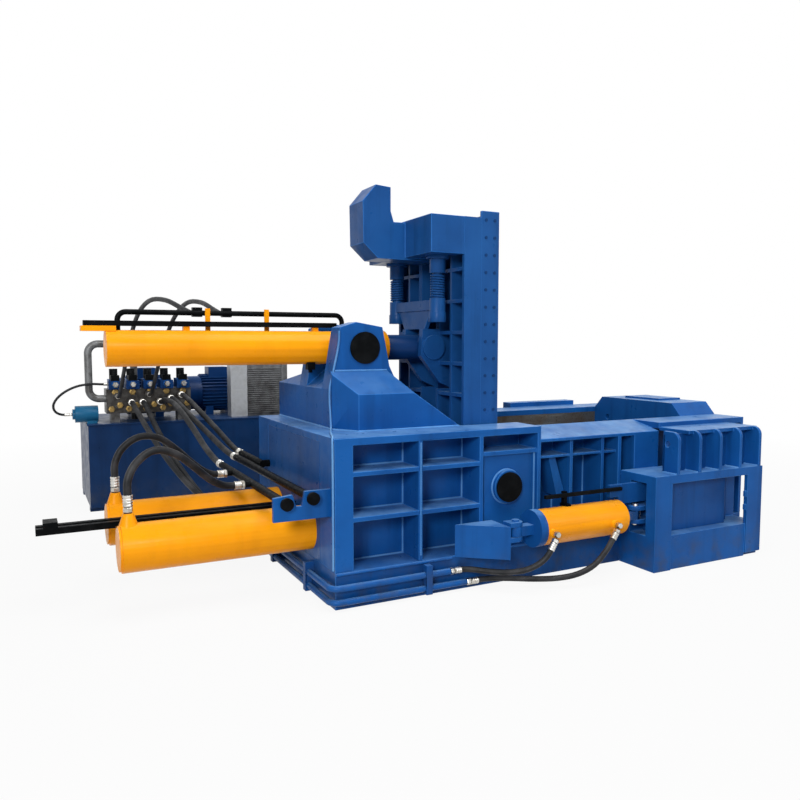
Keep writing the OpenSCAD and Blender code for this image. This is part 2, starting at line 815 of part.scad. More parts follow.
// Limit switch on its post on top of the gate cylinder
module gate_switch() {
    x = gate_barrel_x + 250;
    z0 = gate_z + gate_r;
    y = gate_y + gate_bar_t / 2 + seat;
    color(black) difference() {
        union() {
            block([x - 18, gate_y - 12, z0 - 6], [x + 18, gate_y + 60, z0 + 14]);
            block([x - 14, y + 12, z0 + 14], [x + 14, y + 40, gate_bar_z + 30]);
            bar_y(y, y + 12, x, gate_bar_z + 12, 9);
        }
        bar_x(x - 60, x + 60, gate_y, gate_z, gate_r);
    }
}

// Lid weldment: knuckle, slab, webs, cross ribs and the ears of the cylinder lug
lid_half = half_in - lid_side_gap;
slab_half = lid_half - strip_w;
lid_tip = hinge_z + chamber_l - lid_tip_gap;
web_top = lid_tip - 47;
web_z0 = hinge_z + 130;
knuckle_r = lid_face - 2;
web_t = 30;
lid_rib_t = 24;
lid_rib_n = 5;
lid_rib_z = 1220;
lid_rib_end = 357;
lid_rib_pitch = (web_top - lid_rib_z - lid_rib_end) / (lid_rib_n - 1);
stiffener_y = column_y - 10;
ear_y0 = eye_w / 2 + ear_gap;
ear_y1 = ear_y0 + ear_t;
ear_top = trunnion_z + 130;
module lid_frame() {
    ear = [
        [-slab_back, trunnion_z - 310], [-slab_back, ear_top], [-column_x - 30, ear_top],
        [-lug_x - eye_r, trunnion_z - 60], [-web_back, trunnion_z - 250]
    ];
    color(blue) difference() {
        union() {
            bar_y(-slab_half, slab_half, 0, hinge_z, knuckle_r);
            block([-slab_back, -slab_half, hinge_z], [lid_face - face_t, slab_half, web_top]);
            both_sides() {
                block([-web_back, lid_half - web_t, web_z0], [-slab_back, lid_half, web_top]);
                for (k = [0 : lid_rib_n - 1]) {
                    z = lid_rib_z + k * lid_rib_pitch;
                    block([-web_back, ear_y0, z], [-slab_back, lid_half - web_t, z + lid_rib_t]);
                }
                for (reach = [[stiffener_y, web_top], [ear_y0, trunnion_z - 300]])
                    block([-web_back, reach[0], web_z0], [-slab_back, reach[0] + lid_rib_t, reach[1]]);
                block([-web_back, ear_y0, ear_top], [-slab_back, ear_y1, web_top]);
                plate_xz(ear, ear_y0, ear_y1);
                bar_y(ear_y1, ear_y1 + 22, -lug_x, trunnion_z, eye_r - 8);
            }
            block([-web_back, -lid_half, web_top - web_t], [-slab_back, lid_half, web_top]);
        }
        bar_y(-half_in, half_in, 0, hinge_z, shaft_r + fit);
    }
}

// Inner wear plate of the lid
module lid_face_plate() {
    color(worn) difference() {
        block([lid_face - face_t, -slab_half, hinge_z + 40], [lid_face, slab_half, lid_tip]);
        bar_y(-half_in, half_in, 0, hinge_z, knuckle_r);
    }
}

// Side strips bolted along both edges of the slab, with two rows of bolts
strip_z0 = hinge_z + 80;
module lid_side_strips() {
    color(blue) both_sides()
        block([-slab_back, slab_half, strip_z0], [lid_face, lid_half - 4, lid_tip]);
}

bolt_r = 11;
bolt_h = 3;
bolt_n = 15;
module lid_bolts() {
    pitch = (lid_tip - strip_z0 - 120) / (bolt_n - 1);
    color(silver) both_sides()
        for (x = [-slab_back + 38, lid_face - 38], k = [0 : bolt_n - 1])
            bar_y(lid_half - 4, lid_half - 4 + bolt_h, x, strip_z0 + 60 + k * pitch, bolt_r);
}

// Hooked beak on a wide box at the lid's tip
box_h = 251;
box_x = column_x + 151;
box_z1 = web_top;
box_z0 = box_z1 - box_h;
hook_x = column_x + 85;
hook_z1 = lid_tip - 25;
hook_z0 = hook_z1 - 239;
module lid_beak() {
    hook = [
        [-web_back, hook_z0 - 54], [-web_back, hook_z1 - 29], [-hook_x - 155, hook_z1 - 33],
        [-hook_x - 178, hook_z1 + 39], [-hook_x - 178, hook_z1 + 202], [-hook_x - 292, hook_z1 + 211],
        [-hook_x - 391, hook_z1 + 94], [-hook_x - 386, hook_z0 + 51], [-hook_x - 276, hook_z0 - 49]
    ];
    color(blue) {
        block([-box_x, -lid_half, box_z0], [-web_back, lid_half, box_z1]);
        plate_xz(hook, -beak_half, beak_half);
    }
}

// Two spring columns under the box: flange, rod, guide tube, sleeve and nut; their lengths share out the
// space between the lug and the box
column_k = (box_z0 - ear_top) / 500;
flange_h = 22 * column_k;
sleeve_h = 97 * column_k;
nut_h = 68 * column_k;
spring_z1 = box_z0 - 119 * column_k;
spring_z0 = spring_z1 - 170 * column_k;
rod_r = column_r - 20;
module lid_columns() {
    color(blue) both_sides() {
        bar_z(box_z0 - flange_h, box_z0, -column_x, column_y, column_r + 26);
        bar_z(spring_z1, box_z0 - flange_h, -column_x, column_y, column_r);
        bar_z(spring_z0, spring_z1, -column_x, column_y, rod_r);
        bar_z(spring_z0 - sleeve_h, spring_z0, -column_x, column_y, column_r);
        bar_z(spring_z0 - sleeve_h - nut_h, spring_z0 - sleeve_h, -column_x, column_y, column_r + 5);
    }
}

// Coil springs between the guide tubes and the sleeves
spring_turns = 9;
wire_r = 7 * column_k;
module lid_springs() {
    steps = 14;
    coil_r = rod_r + wire_r + 3;
    rise = (spring_z1 - spring_z0 - 2 * (wire_r + seat)) / spring_turns;
    coil = [
        for (i = [-1 : spring_turns * steps + 1])
            let (a = 360 * i / steps, lift = max(0, min(spring_turns * steps, i)) / steps * rise)
            [coil_r * cos(a), coil_r * sin(a), wire_r + seat + lift]
    ];
    color(blue) both_sides() translate([-column_x, column_y, spring_z0]) hose(coil, wire_r, 8);
}

// Cross bar between the two sleeves and the tapered plate down to the ears
hanger_h = 70 * column_k;
module lid_hanger() {
    x0 = -column_x - 15;
    z = spring_z0 - 80 * column_k;
    top = z + hanger_h / 2;
    taper = [
        [65 - column_y, top], [65 - column_y, z], [-ear_y1, ear_top],
        [ear_y1, ear_top], [column_y - 65, z], [column_y - 65, top]
    ];
    color(blue) difference() {
        union() {
            block([-column_x - 30, -column_y, z], [-column_x + 30, column_y, z + hanger_h]);
            plate_yz(taper, x0, x0 + 30);
        }
        for (y = [-column_y, column_y]) bar_z(z - 1, z + hanger_h + 1, -column_x, y, column_r);
    }
}

// Lid cylinder: barrel with its trunnion ring and pins, gland ring and top bracket
lid_r = lid_barrel_d / 2;
lid_back_x = -trunnion_x - lid_barrel_back;
lid_front_x = -trunnion_x + lid_barrel_front;
ring_half = 85;
ring_r = cheek_y0 - 5;
rail_z = trunnion_z + lid_r + 24;
module lid_cylinder() {
    color(yellow) difference() {
        union() {
            bar_x(lid_back_x, lid_front_x, 0, trunnion_z, lid_r);
            bar_x(lid_front_x, lid_front_x + 40, 0, trunnion_z, lid_r + 6);
            bar_x(-trunnion_x - ring_half, -trunnion_x + ring_half, 0, trunnion_z, ring_r);
            bar_y(2 - cheek_y1, cheek_y1 - 2, -trunnion_x, trunnion_z, trunnion_r);
            block([lid_back_x - 135, -50, rail_z - 32], [lid_back_x + 60, 50, rail_z]);
            block([lid_back_x + 20, -30, trunnion_z + lid_r - 30], [lid_back_x + 60, 30, rail_z - 20]);
            for (x = rail_posts) block([x - 20, -20, trunnion_z + lid_r - 8], [x + 20, 20, rail_z]);
            for (x = clip_x)
                block([x - 16, lid_pipe_y - 26, clip_z0], [x + 16, lid_pipe_y - lid_pipe_r, lid_pipe_z + 30]);
        }
        bar_x(lid_back_x + 60, lid_front_x - 10, 0, trunnion_z, lid_bore_d / 2);
        bar_x(lid_front_x - 11, lid_front_x + 41, 0, trunnion_z, lid_rod_d / 2 + fit);
    }
}

// Black sensor rail along the top of the lid cylinder
rail_t = 32;
rail_end = -trunnion_x - ring_half - 5;
rail_posts = [lid_back_x + 480, -trunnion_x - 240];
module lid_sensor_rail() {
    color(black) block([lid_back_x - 120, -rail_t, rail_z], [rail_end, rail_t, rail_z + rail_t]);
}

// Steel pipe over the lid cylinder, from its closed end past the hose blocks to the trunnion ring
lid_pipe_r = 17;
lid_pipe_y = 62;
lid_pipe_z = rail_z + rail_t + 56;
lid_pipe_x0 = lid_back_x + 80;
lid_pipe_x1 = -trunnion_x - 14;
clip_x = [lid_back_x + 625, lid_back_x + 1015];
clip_z0 = trunnion_z + lid_r - 18;
hose_block_x = [lid_back_x + 565, lid_back_x + 755];
lid_block_y = 100;
module lid_pipe() {
    color(black) {
        bar_x(lid_pipe_x0, lid_pipe_x1, lid_pipe_y, lid_pipe_z, lid_pipe_r);
        difference() {
            for (x = [lid_pipe_x0, lid_pipe_x1])
                bar_z(trunnion_z + lid_pipe_y, lid_pipe_z, x, lid_pipe_y, lid_pipe_r);
            bar_x(lid_back_x, lid_front_x, 0, trunnion_z, lid_r);
            bar_x(-trunnion_x - ring_half, -trunnion_x + ring_half, 0, trunnion_z, ring_r);
        }
        for (x = [lid_pipe_x0, lid_pipe_x1])
            translate([x, lid_pipe_y, lid_pipe_z]) sphere(lid_pipe_r);
        for (x = hose_block_x)
            block([x - 30, lid_pipe_y - 8, lid_pipe_z - 24], [x + 30, lid_block_y, lid_pipe_z + 36]);
        for (route = lid_routes) ferrule(route[len(route) - 1], route[len(route) - 2], lid_hose_r + 4);
    }
}

// Lid cylinder's piston rod, and the blue rod end with its eye and pin
module lid_rod() {
    piston_x = lid_back_x + 75;
    color(silver) {
        bar_x(piston_x, piston_x + piston_l, 0, trunnion_z, lid_bore_d / 2 - fit);
        bar_x(piston_x + piston_l, lid_front_x + 50, 0, trunnion_z, lid_rod_d / 2);
    }
}

module rod_eye() {
    color(deep_blue) {
        bar_x(lid_front_x + 50, -lug_x, 0, trunnion_z, eye_r - 5);
        bar_y(-eye_w / 2, eye_w / 2, -lug_x, trunnion_z, eye_r);
    }
}

// Bracket plate at the left end that holds the two header pipes
header_x = [-frame_l - 285, -frame_l - 125];
header_z = [665, 685];
header_end = [half_w + 20, half_w + 220];
header_r = 26;
bracket_y = -700;
bracket_t = 24;
third_out = 55;
third_l = 580;
third_z = 700;
elbow_y = 520;
module pipe_bracket() {
    low = header_z[0] - 107;
    notch = header_z[0] - 25;
    left = header_x[0] - 73;
    outline = [
        [-frame_l, low], [left, low], [left, header_z[0] + 35], [header_x[0] + 45, header_z[0] + 47],
        [header_x[0] + 67, notch], [header_x[1] - 57, notch], [header_x[1] - 40, header_z[1] + 41],
        [-frame_l, header_z[1] + 41]
    ];
    color(blue) difference() {
        plate_xz(outline, bracket_y - bracket_t, bracket_y);
        for (k = [0, 1])
            bar_y(bracket_y - bracket_t - 1, bracket_y + 1, header_x[k], header_z[k], header_r);
    }
}

// Header pipes over the main cylinders, their tees, and a third pipe with an elbow into the frame's end
module steel_pipes() {
    color(black) {
        for (k = [0, 1]) {
            y0 = bracket_y - bracket_t - 20;
            bar_y(y0, header_end[k], header_x[k], header_z[k], header_r);
            bar_y(y0 - 24, y0, header_x[k], header_z[k], header_r + 12);
        }
        for (route = [near_main, far_main])
            bar_x(route[len(route) - 1][0], header_x[0], route[len(route) - 1][1], header_z[0], header_r - 6);
        bar_y(elbow_y - header_r, elbow_y + third_l, -frame_l - third_out, third_z, header_r);
        bar_x(-frame_l - third_out, -frame_l, elbow_y, third_z, header_r);
    }
}

// Pipes along the foot of the base, down the left side and along the front, with a thin conduit over them
foot_r = 20;
foot_gap = 15;
foot_z = [140, 55];
foot_end = [-480, -360];
foot_bend = 60;
foot_x = -frame_l - foot_r - foot_gap;
foot_y = -half_w - foot_r - foot_gap;
foot_rear = 600;
conduit_r = 9;
module base_pipes() {
    color(blue) {
        for (k = [0, 1]) {
            z = foot_z[k];
            bar_x(foot_x + foot_bend, foot_end[k], foot_y, z, foot_r);
            bar_y(foot_y + foot_bend, foot_rear, foot_x, z, foot_r);
            translate([foot_x + foot_bend, foot_y + foot_bend, z])
                rotate([0, 0, 180]) rotate_extrude(angle = 90) translate([foot_bend, 0]) circle(foot_r);
        }
        bar_x(-frame_l, foot_end[0] + 30, -half_w - conduit_r, base_h - conduit_r, conduit_r);
    }
}

// Clamp straps that hold the foot pipes to the base
clamp_half = 22;
clamp_z0 = 18;
clamp_z1 = base_h - 20;
module pipe_clamps() {
    color(blue) {
        clamp_x(foot_end[0] - 160);
        for (y = [-foot_rear + 200, foot_rear - 300]) clamp_y(y);
    }
}

module clamp_x(x) {
    difference() {
        block([x - clamp_half, foot_y - foot_r - 6, clamp_z0], [x + clamp_half, -half_w, clamp_z1]);
        for (z = foot_z) bar_x(x - clamp_half - 1, x + clamp_half + 1, foot_y, z, foot_r);
    }
}

module clamp_y(y) {
    difference() {
        block([foot_x - foot_r - 6, y - clamp_half, clamp_z0], [-frame_l, y + clamp_half, clamp_z1]);
        for (z = foot_z) bar_y(y - clamp_half - 1, y + clamp_half + 1, foot_x, z, foot_r);
    }
}

// Oil tank on skids with an overhanging lid plate
skid_h = 40;
tank_lid_t = 14;
tank_over = 10;
module oil_tank() {
    color(deep_blue) {
        x0 = -tank_x + tank_over;
        x1 = -tank_x + tank_l - tank_over;
        z1 = tank_h - tank_lid_t;
        block([x0, tank_y + tank_over, skid_h], [x1, tank_y + tank_w - tank_over, z1]);
        block([-tank_x, tank_y, z1], [-tank_x + tank_l, tank_y + tank_w, tank_h]);
        for (y = [tank_y + 60, tank_y + tank_w - 160]) block([x0, y, 0], [x1, y + 100, skid_h]);
    }
}

// Valve manifold on two feet, with outlet bosses towards the press and a steel pipe looped back to the tank
manifold_l = 780;
manifold_w = 220;
manifold_h = 230;
manifold_x0 = -tank_x + 180;
manifold_x1 = manifold_x0 + manifold_l;
manifold_y0 = tank_y + 60;
manifold_z0 = tank_h + 90;
loop_r = 34;
loop_bend = 90;
loop_x = manifold_x0 - 145;
loop_y = manifold_y0 + 60;
loop_back = manifold_y0 + manifold_w + 90;
loop_over = 200;
loop_z0 = manifold_z0 + 141;
loop_z1 = manifold_z0 + 658;
module pipe_elbow() {
    rotate_extrude(angle = 90) translate([loop_bend, 0]) circle(loop_r);
}

module pipe_loop() {
    low = loop_z0 + loop_bend;
    high = loop_z1 - loop_bend;
    left = loop_x + loop_bend;
    right = manifold_x0 + loop_over;
    bar_x(left, manifold_x0, loop_y, loop_z0, loop_r);
    translate([left, loop_y, low]) rotate([90, 180, 0]) pipe_elbow();
    bar_z(low, high, loop_x, loop_y, loop_r);
    translate([left, loop_y, high]) rotate([90, -90, 0]) pipe_elbow();
    bar_x(left, right, loop_y, loop_z1, loop_r);
    translate([right, loop_y + loop_bend, loop_z1]) rotate([0, 0, -90]) pipe_elbow();
    bar_y(loop_y + loop_bend, loop_back - loop_bend, right + loop_bend, loop_z1, loop_r);
    translate([right + loop_bend, loop_back - loop_bend, high]) rotate([90, 0, 90]) pipe_elbow();
    bar_z(tank_h, high, right + loop_bend, loop_back, loop_r);
}

module valve_manifold() {
    color(grey) {
        block([manifold_x0, manifold_y0, manifold_z0],
            [manifold_x1, manifold_y0 + manifold_w, manifold_z0 + manifold_h]);
        pipe_loop();
        for (x = [manifold_x0 + 40, manifold_x1 - 120])
            block([x, manifold_y0 + 40, tank_h], [x + 80, manifold_y0 + 180, manifold_z0]);
        for (route = concat(power_routes, lid_routes))
            bar_y(route[0][1], manifold_y0, route[0][0], route[0][2], 30);
    }
}

// Solenoid valves in a row on the manifold
valve_n = 5;
module solenoid_valves() {
    z = manifold_z0 + manifold_h;
    pitch = (manifold_x1 - manifold_x0) / valve_n;
    color(deep_blue) for (k = [0 : valve_n - 1]) {
        x = manifold_x0 + (k + 0.5) * pitch;
        block([x - 50, manifold_y0 + 30, z], [x + 50, manifold_y0 + 190, z + 90]);
        bar_y(manifold_y0 - 60, manifold_y0 + 30, x, z + 45, 34);
        bar_z(z + 90, z + 190, x, manifold_y0 + 110, 38);
    }
}

// Air-blast oil cooler: fin block, end headers and frame
cooler_l = 600;
cooler_header = 170;
cooler_x1 = -tank_x + tank_l - 54;
cooler_x0 = cooler_x1 - cooler_l;
cooler_h = 540;
fin_n = 22;
module oil_cooler() {
    y0 = tank_y + 120;
    z1 = tank_h + cooler_h;
    pitch = (cooler_h - 60) / fin_n;
    color(grey) {
        block([cooler_x0, y0, tank_h], [cooler_x0 + cooler_header, y0 + 150, z1]);
        block([cooler_x1 - 60, y0, tank_h], [cooler_x1, y0 + 150, z1]);
        block([cooler_x0 + cooler_header, y0 + 20, tank_h], [cooler_x1 - 60, y0 + 130, z1]);
        for (k = [0 : fin_n - 1]) {
            z = tank_h + 30 + k * pitch;
            block([cooler_x0 + cooler_header, y0, z], [cooler_x1 - 60, y0 + 20, z + 0.45 * pitch]);
        }
    }
}

// Return filter lying at the tank's left edge, on its saddle
filter_r = 78;
filter_x = -tank_x + 10;
module return_filter() {
    y = tank_y + 160;
    z = tank_h + filter_r + 10;
    color("#1d5f86") {
        bar_x(filter_x - 100, filter_x + 100, y, z, filter_r);
        bar_x(filter_x - 122, filter_x - 100, y, z, filter_r - 30);
        block([filter_x, y - 60, tank_h], [filter_x + 90, y + 60, z - 60]);
    }
}

// Route pulled to its real ends: the drawn shape keeps its end fittings and shifts evenly between them
function laid(drawn, from, to) =
    let (n = len(drawn) - 1, a = from - drawn[0], b = to - drawn[n])
    [for (i = [0 : n]) let (w = max(0, min(1, (i - 1) / (n - 2)))) drawn[i] + (1 - w) * a + w * b];

function outlet(dx, dz) = [manifold_x0 + dx, tank_y, manifold_z0 + dz];

// Hose routes: end fitting, points along the hose, end fitting
main_port = [60 - main_back, main_z + main_r + 63];
tee_x = header_x[0] - 55;
near_main = laid([
    [-2350, -330, 615], [-2350, -330, 720], [-2345, -328, 810], [-2295, -310, 900], [-2190, -270, 960],
    [-2060, -220, 925], [-1940, -170, 830], [-1840, -115, 740], [-1745, -65, 680], [-1660, -50, 665],
    [-1590, -50, 665]
], [main_port[0], -main_y, main_port[1]], [tee_x, -50, header_z[0]]);
far_main = laid([
    [-2350, 330, 615], [-2350, 330, 720], [-2345, 331, 810], [-2295, 334, 905], [-2190, 342, 970],
    [-2065, 360, 955], [-1950, 380, 870], [-1845, 400, 770], [-1745, 416, 690], [-1660, 420, 665],
    [-1590, 420, 665]
], [main_port[0], main_y, main_port[1]], [tee_x, 420, header_z[0]]);
gate_left = laid([
    [-480, -815, 140], [-400, -815, 140], [-320, -840, 136], [-235, -910, 130],
    [-145, -990, 135], [-50, -1060, 160], [32, -1105, 215], [86, -1115, 280], [127, -1115, 350]
], [foot_end[0], foot_y, foot_z[0]], [gate_ports[0] - 8, gate_y - 160, port_z - 24]);
gate_right = laid([
    [-360, -815, 55], [-270, -815, 55], [-170, -835, 55], [-60, -900, 57], [60, -985, 60],
    [190, -1060, 68], [320, -1105, 90], [440, -1125, 140], [543, -1120, 220], [604, -1115, 290],
    [645, -1115, 350]
], [foot_end[1], foot_y, foot_z[1]], [gate_ports[1] - 10, gate_y - 160, port_z - 24]);
power_routes = [
    laid([
        [-1700, 2600, 1030], [-1700, 2510, 1030], [-1692, 2280, 1065], [-1664, 1950, 1040],
        [-1614, 1550, 900], [-1562, 1200, 735], [-1535, 880, 665], [-1535, 800, 665]
    ], outlet(470, 108), [header_x[0], header_end[0], header_z[0]]),
    laid([
        [-1600, 2600, 1060], [-1600, 2510, 1060], [-1588, 2250, 1035], [-1540, 1930, 940], [-1460, 1560, 810],
        [-1395, 1290, 710], [-1375, 1080, 685], [-1375, 1000, 685]
    ], outlet(570, 138), [header_x[1], header_end[1], header_z[1]]),
    laid([
        [-1500, 2600, 1090], [-1500, 2510, 1090], [-1488, 2270, 1060], [-1440, 1980, 965], [-1370, 1650, 835],
        [-1318, 1380, 730], [-1305, 1180, 700], [-1305, 1100, 700]
    ], outlet(670, 168), [-frame_l - third_out, elbow_y + third_l, third_z]),
    laid([
        [-1960, 2600, 1030], [-1960, 2510, 1030], [-1950, 2330, 985], [-1890, 2040, 820], [-1780, 1740, 590],
        [-1620, 1420, 360], [-1440, 1080, 195], [-1320, 820, 142], [-1285, 690, 140], [-1285, 600, 140]
    ], outlet(210, 108), [foot_x, foot_rear, foot_z[0]]),
    laid([
        [-1860, 2600, 1030], [-1860, 2510, 1030], [-1850, 2320, 975], [-1800, 2020, 790], [-1690, 1700, 530],
        [-1530, 1360, 270], [-1370, 1020, 100], [-1300, 800, 57], [-1285, 690, 55], [-1285, 600, 55]
    ], outlet(310, 108), [foot_x, foot_rear, foot_z[1]])
];
lid_routes = [
    laid([
        [-2080, 2600, 1090], [-2080, 2520, 1090], [-2080, 2350, 1140], [-2075, 2050, 1350],
        [-2065, 1700, 1600], [-2050, 1330, 1800], [-2015, 950, 1900], [-1955, 600, 1890],
        [-1885, 340, 1820], [-1850, 180, 1784], [-1850, 100, 1784]
    ], outlet(90, 168), [hose_block_x[0], lid_block_y, lid_pipe_z]),
    laid([
        [-1800, 2600, 1100], [-1800, 2520, 1100], [-1800, 2350, 1150], [-1795, 2050, 1360],
        [-1785, 1700, 1600], [-1770, 1330, 1790], [-1745, 950, 1890], [-1710, 600, 1880],
        [-1675, 340, 1815], [-1660, 180, 1784], [-1660, 100, 1784]
    ], outlet(370, 178), [hose_block_x[1], lid_block_y, lid_pipe_z])
];
main_hose_r = 23;
gate_hose_r = 19;
power_hose_r = 24;
lid_hose_r = 17;

module main_hoses() {
    color(black) for (route = [near_main, far_main]) hose(route, main_hose_r);
}

module gate_hoses() {
    color(black) for (route = [gate_left, gate_right]) hose(route, gate_hose_r);
}

module power_hoses() {
    color(black) for (route = power_routes) hose(route, power_hose_r);
}

module lid_hoses() {
    color(black) for (route = lid_routes) hose(route, lid_hose_r);
}

// Crimped sleeves at both ends of every hose that stays with the frame
module sleeves(route, r) {
    n = len(route) - 1;
    ferrule(route[0], route[1], r);
    ferrule(route[n], route[n - 1], r);
}

module hose_fittings() {
    color(silver) {
        for (route = [near_main, far_main]) sleeves(route, main_hose_r + 5);
        for (route = [gate_left, gate_right]) sleeves(route, gate_hose_r + 4);
        for (route = power_routes) sleeves(route, power_hose_r + 5);
        for (route = lid_routes) ferrule(route[0], route[1], lid_hose_r + 4);
        for (x = gate_ports)
            bar_y(gate_y - gate_r - 60, gate_y - gate_r - 22, x, port_z, 20);
    }
}

base_frame();
front_wall();
rear_wall();
left_end_plate();
deck_plate();
ram_channel_cover();
chamber_floor();
front_liner();
rear_liner();
end_wall();
discharge_portal();
portal_gills();
front_tower();
rear_tower();
hinge_shaft();
hinge_caps();
trunnion_caps();
main_cylinders();
main_ram_head();
main_rods();
travel_bars();
side_ram_housing();
side_cylinder();
side_stand();
side_ram_head();
side_rod();
gate_bracket();
gate_cylinder();
gate_rod();
gate_plate();
gate_pin();
gate_bar();
gate_switch();
lid_frame();
lid_face_plate();
lid_side_strips();
lid_bolts();
lid_beak();
lid_columns();
lid_springs();
lid_hanger();
lid_cylinder();
lid_sensor_rail();
lid_pipe();
lid_rod();
rod_eye();
pipe_bracket();
steel_pipes();
base_pipes();
pipe_clamps();
hose_fittings();
oil_tank();
valve_manifold();
solenoid_valves();
oil_cooler();
return_filter();
main_hoses();
gate_hoses();
power_hoses();
lid_hoses();
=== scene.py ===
import math

import bmesh
import bpy
from mathutils import Matrix, Vector


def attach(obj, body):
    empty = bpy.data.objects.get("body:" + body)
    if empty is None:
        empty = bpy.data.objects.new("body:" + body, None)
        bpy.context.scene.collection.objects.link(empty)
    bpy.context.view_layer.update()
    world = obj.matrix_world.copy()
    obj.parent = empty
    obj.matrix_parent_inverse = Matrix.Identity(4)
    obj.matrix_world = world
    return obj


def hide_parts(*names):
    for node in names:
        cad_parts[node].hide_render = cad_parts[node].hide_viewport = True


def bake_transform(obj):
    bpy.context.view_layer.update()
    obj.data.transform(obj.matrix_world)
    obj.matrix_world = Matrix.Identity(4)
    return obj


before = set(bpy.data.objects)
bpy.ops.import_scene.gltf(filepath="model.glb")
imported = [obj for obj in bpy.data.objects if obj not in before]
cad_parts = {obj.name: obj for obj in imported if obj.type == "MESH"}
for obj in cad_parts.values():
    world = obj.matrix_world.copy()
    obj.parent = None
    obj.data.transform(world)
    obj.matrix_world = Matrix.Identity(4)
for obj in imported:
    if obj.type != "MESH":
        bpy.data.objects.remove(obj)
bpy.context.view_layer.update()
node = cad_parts

# Camera
# A normal lens at standing height, off the press's left front corner and turned 27 degrees to the right,
# as the photograph was taken.
EYE = (-2.861, -4.788, 1.6)
LENS_MM, SENSOR_MM = 33.3, 36.0
LOOK_DOWN, TURN_RIGHT = 4.5, 27
camera_data = bpy.data.cameras.new("camera")
camera_data.sensor_width = SENSOR_MM
camera_data.lens = LENS_MM
camera = bpy.data.objects.new("camera", camera_data)
camera.location = EYE
camera.rotation_euler = (math.radians(90 - LOOK_DOWN), 0, math.radians(-TURN_RIGHT))
bpy.context.scene.collection.objects.link(camera)
bpy.context.scene.camera = camera

# Hydraulic hoses of the main cylinders
# Black rubber over steel braid, about two inches across, with zinc-plated crimped ends: from the port on top
# of each main cylinder, in a high arch, down to the tee on the header pipe.
MM = 0.001
MAIN_HOSE_R = 23
SLEEVE_WALL, THIN_SLEEVE_WALL, THIN_HOSE_R = 0.005, 0.004, 20


def new_material(name):
    material = bpy.data.materials.new(name)
    material.use_nodes = True
    tree = material.node_tree
    return material, tree.nodes, tree.links, tree.nodes["Principled BSDF"]


def cloud(nodes, links, scale, detail=3.0, stretch=(1, 1, 1), roughness=0.55):
    coords = nodes.new("ShaderNodeTexCoord")
    mapping = nodes.new("ShaderNodeMapping")
    mapping.inputs["Scale"].default_value = stretch
    noise = nodes.new("ShaderNodeTexNoise")
    noise.inputs["Scale"].default_value = scale
    noise.inputs["Detail"].default_value = detail
    noise.inputs["Roughness"].default_value = roughness
    links.new(coords.outputs["Object"], mapping.inputs["Vector"])
    links.new(mapping.outputs["Vector"], noise.inputs["Vector"])
    return noise.outputs["Fac"]


def spread(nodes, links, value, low, high, to_low=0.0, to_high=1.0):
    ramp = nodes.new("ShaderNodeMapRange")
    ramp.inputs["From Min"].default_value = low
    ramp.inputs["From Max"].default_value = high
    ramp.inputs["To Min"].default_value = to_low
    ramp.inputs["To Max"].default_value = to_high
    links.new(value, ramp.inputs["Value"])
    return ramp.outputs["Result"]


def times(nodes, links, first, second):
    product = nodes.new("ShaderNodeMath")
    product.operation = "MULTIPLY"
    for socket, value in zip(product.inputs, (first, second)):
        if isinstance(value, float):
            socket.default_value = value
        else:
            links.new(value, socket)
    return product.outputs["Value"]


def mixed(nodes, links, factor, first, second):
    mix = nodes.new("ShaderNodeMix")
    mix.data_type = "RGBA"
    links.new(factor, mix.inputs["Factor"])
    for socket, colour in ((mix.inputs[6], first), (mix.inputs[7], second)):
        if isinstance(colour, tuple):
            socket.default_value = (*colour, 1.0)
        else:
            links.new(colour, socket)
    return mix.outputs[2]


def grain(nodes, links, shader, height, strength, distance):
    bump = nodes.new("ShaderNodeBump")
    bump.inputs["Strength"].default_value = strength
    bump.inputs["Distance"].default_value = distance
    links.new(height, bump.inputs["Height"])
    links.new(bump.outputs["Normal"], shader.inputs["Normal"])


def hose_rubber():
    material, nodes, links, shader = new_material("hose_rubber")
    scuff = spread(nodes, links, cloud(nodes, links, 7.0, 4.0), 0.45, 0.7)
    colour = mixed(nodes, links, scuff, (0.010, 0.011, 0.013), (0.045, 0.045, 0.048))
    worn = spread(nodes, links, cloud(nodes, links, 30.0), 0.3, 0.7, 0.38, 0.6)
    links.new(colour, shader.inputs["Base Color"])
    links.new(worn, shader.inputs["Roughness"])
    shader.inputs["Specular IOR Level"].default_value = 0.2
    grain(nodes, links, shader, cloud(nodes, links, 420.0, 2.0), 0.25, 0.001)
    return material


def plated_zinc():
    material, nodes, links, shader = new_material("plated_zinc")
    stain = spread(nodes, links, cloud(nodes, links, 24.0, 4.0), 0.4, 0.68)
    colour = mixed(nodes, links, stain, (0.66, 0.65, 0.62), (0.40, 0.37, 0.31))
    handled = spread(nodes, links, cloud(nodes, links, 60.0), 0.3, 0.7, 0.24, 0.42)
    links.new(colour, shader.inputs["Base Color"])
    links.new(handled, shader.inputs["Roughness"])
    shader.inputs["Metallic"].default_value = 1.0
    return material


rubber = hose_rubber()
zinc = plated_zinc()


def piece(name, mesh_build, material, body=None, sharp=35):
    mesh = bpy.data.meshes.new(name)
    bmesh.ops.recalc_face_normals(mesh_build, faces=mesh_build.faces)
    mesh_build.to_mesh(mesh)
    mesh_build.free()
    mesh.shade_smooth()
    mesh.set_sharp_from_angle(angle=math.radians(sharp))
    mesh.materials.append(material)
    made = bpy.data.objects.new(name, mesh)
    bpy.context.scene.collection.objects.link(made)
    if body:
        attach(made, body)
    return made


def across(heading):
    return heading.cross(Vector((0.6, 0.5, 0.4))).normalized()


def ring(middle, side, up, r, sides):
    turns = [2 * math.pi * k / sides for k in range(sides)]
    return [middle + r * (math.cos(a) * side + math.sin(a) * up) for a in turns]


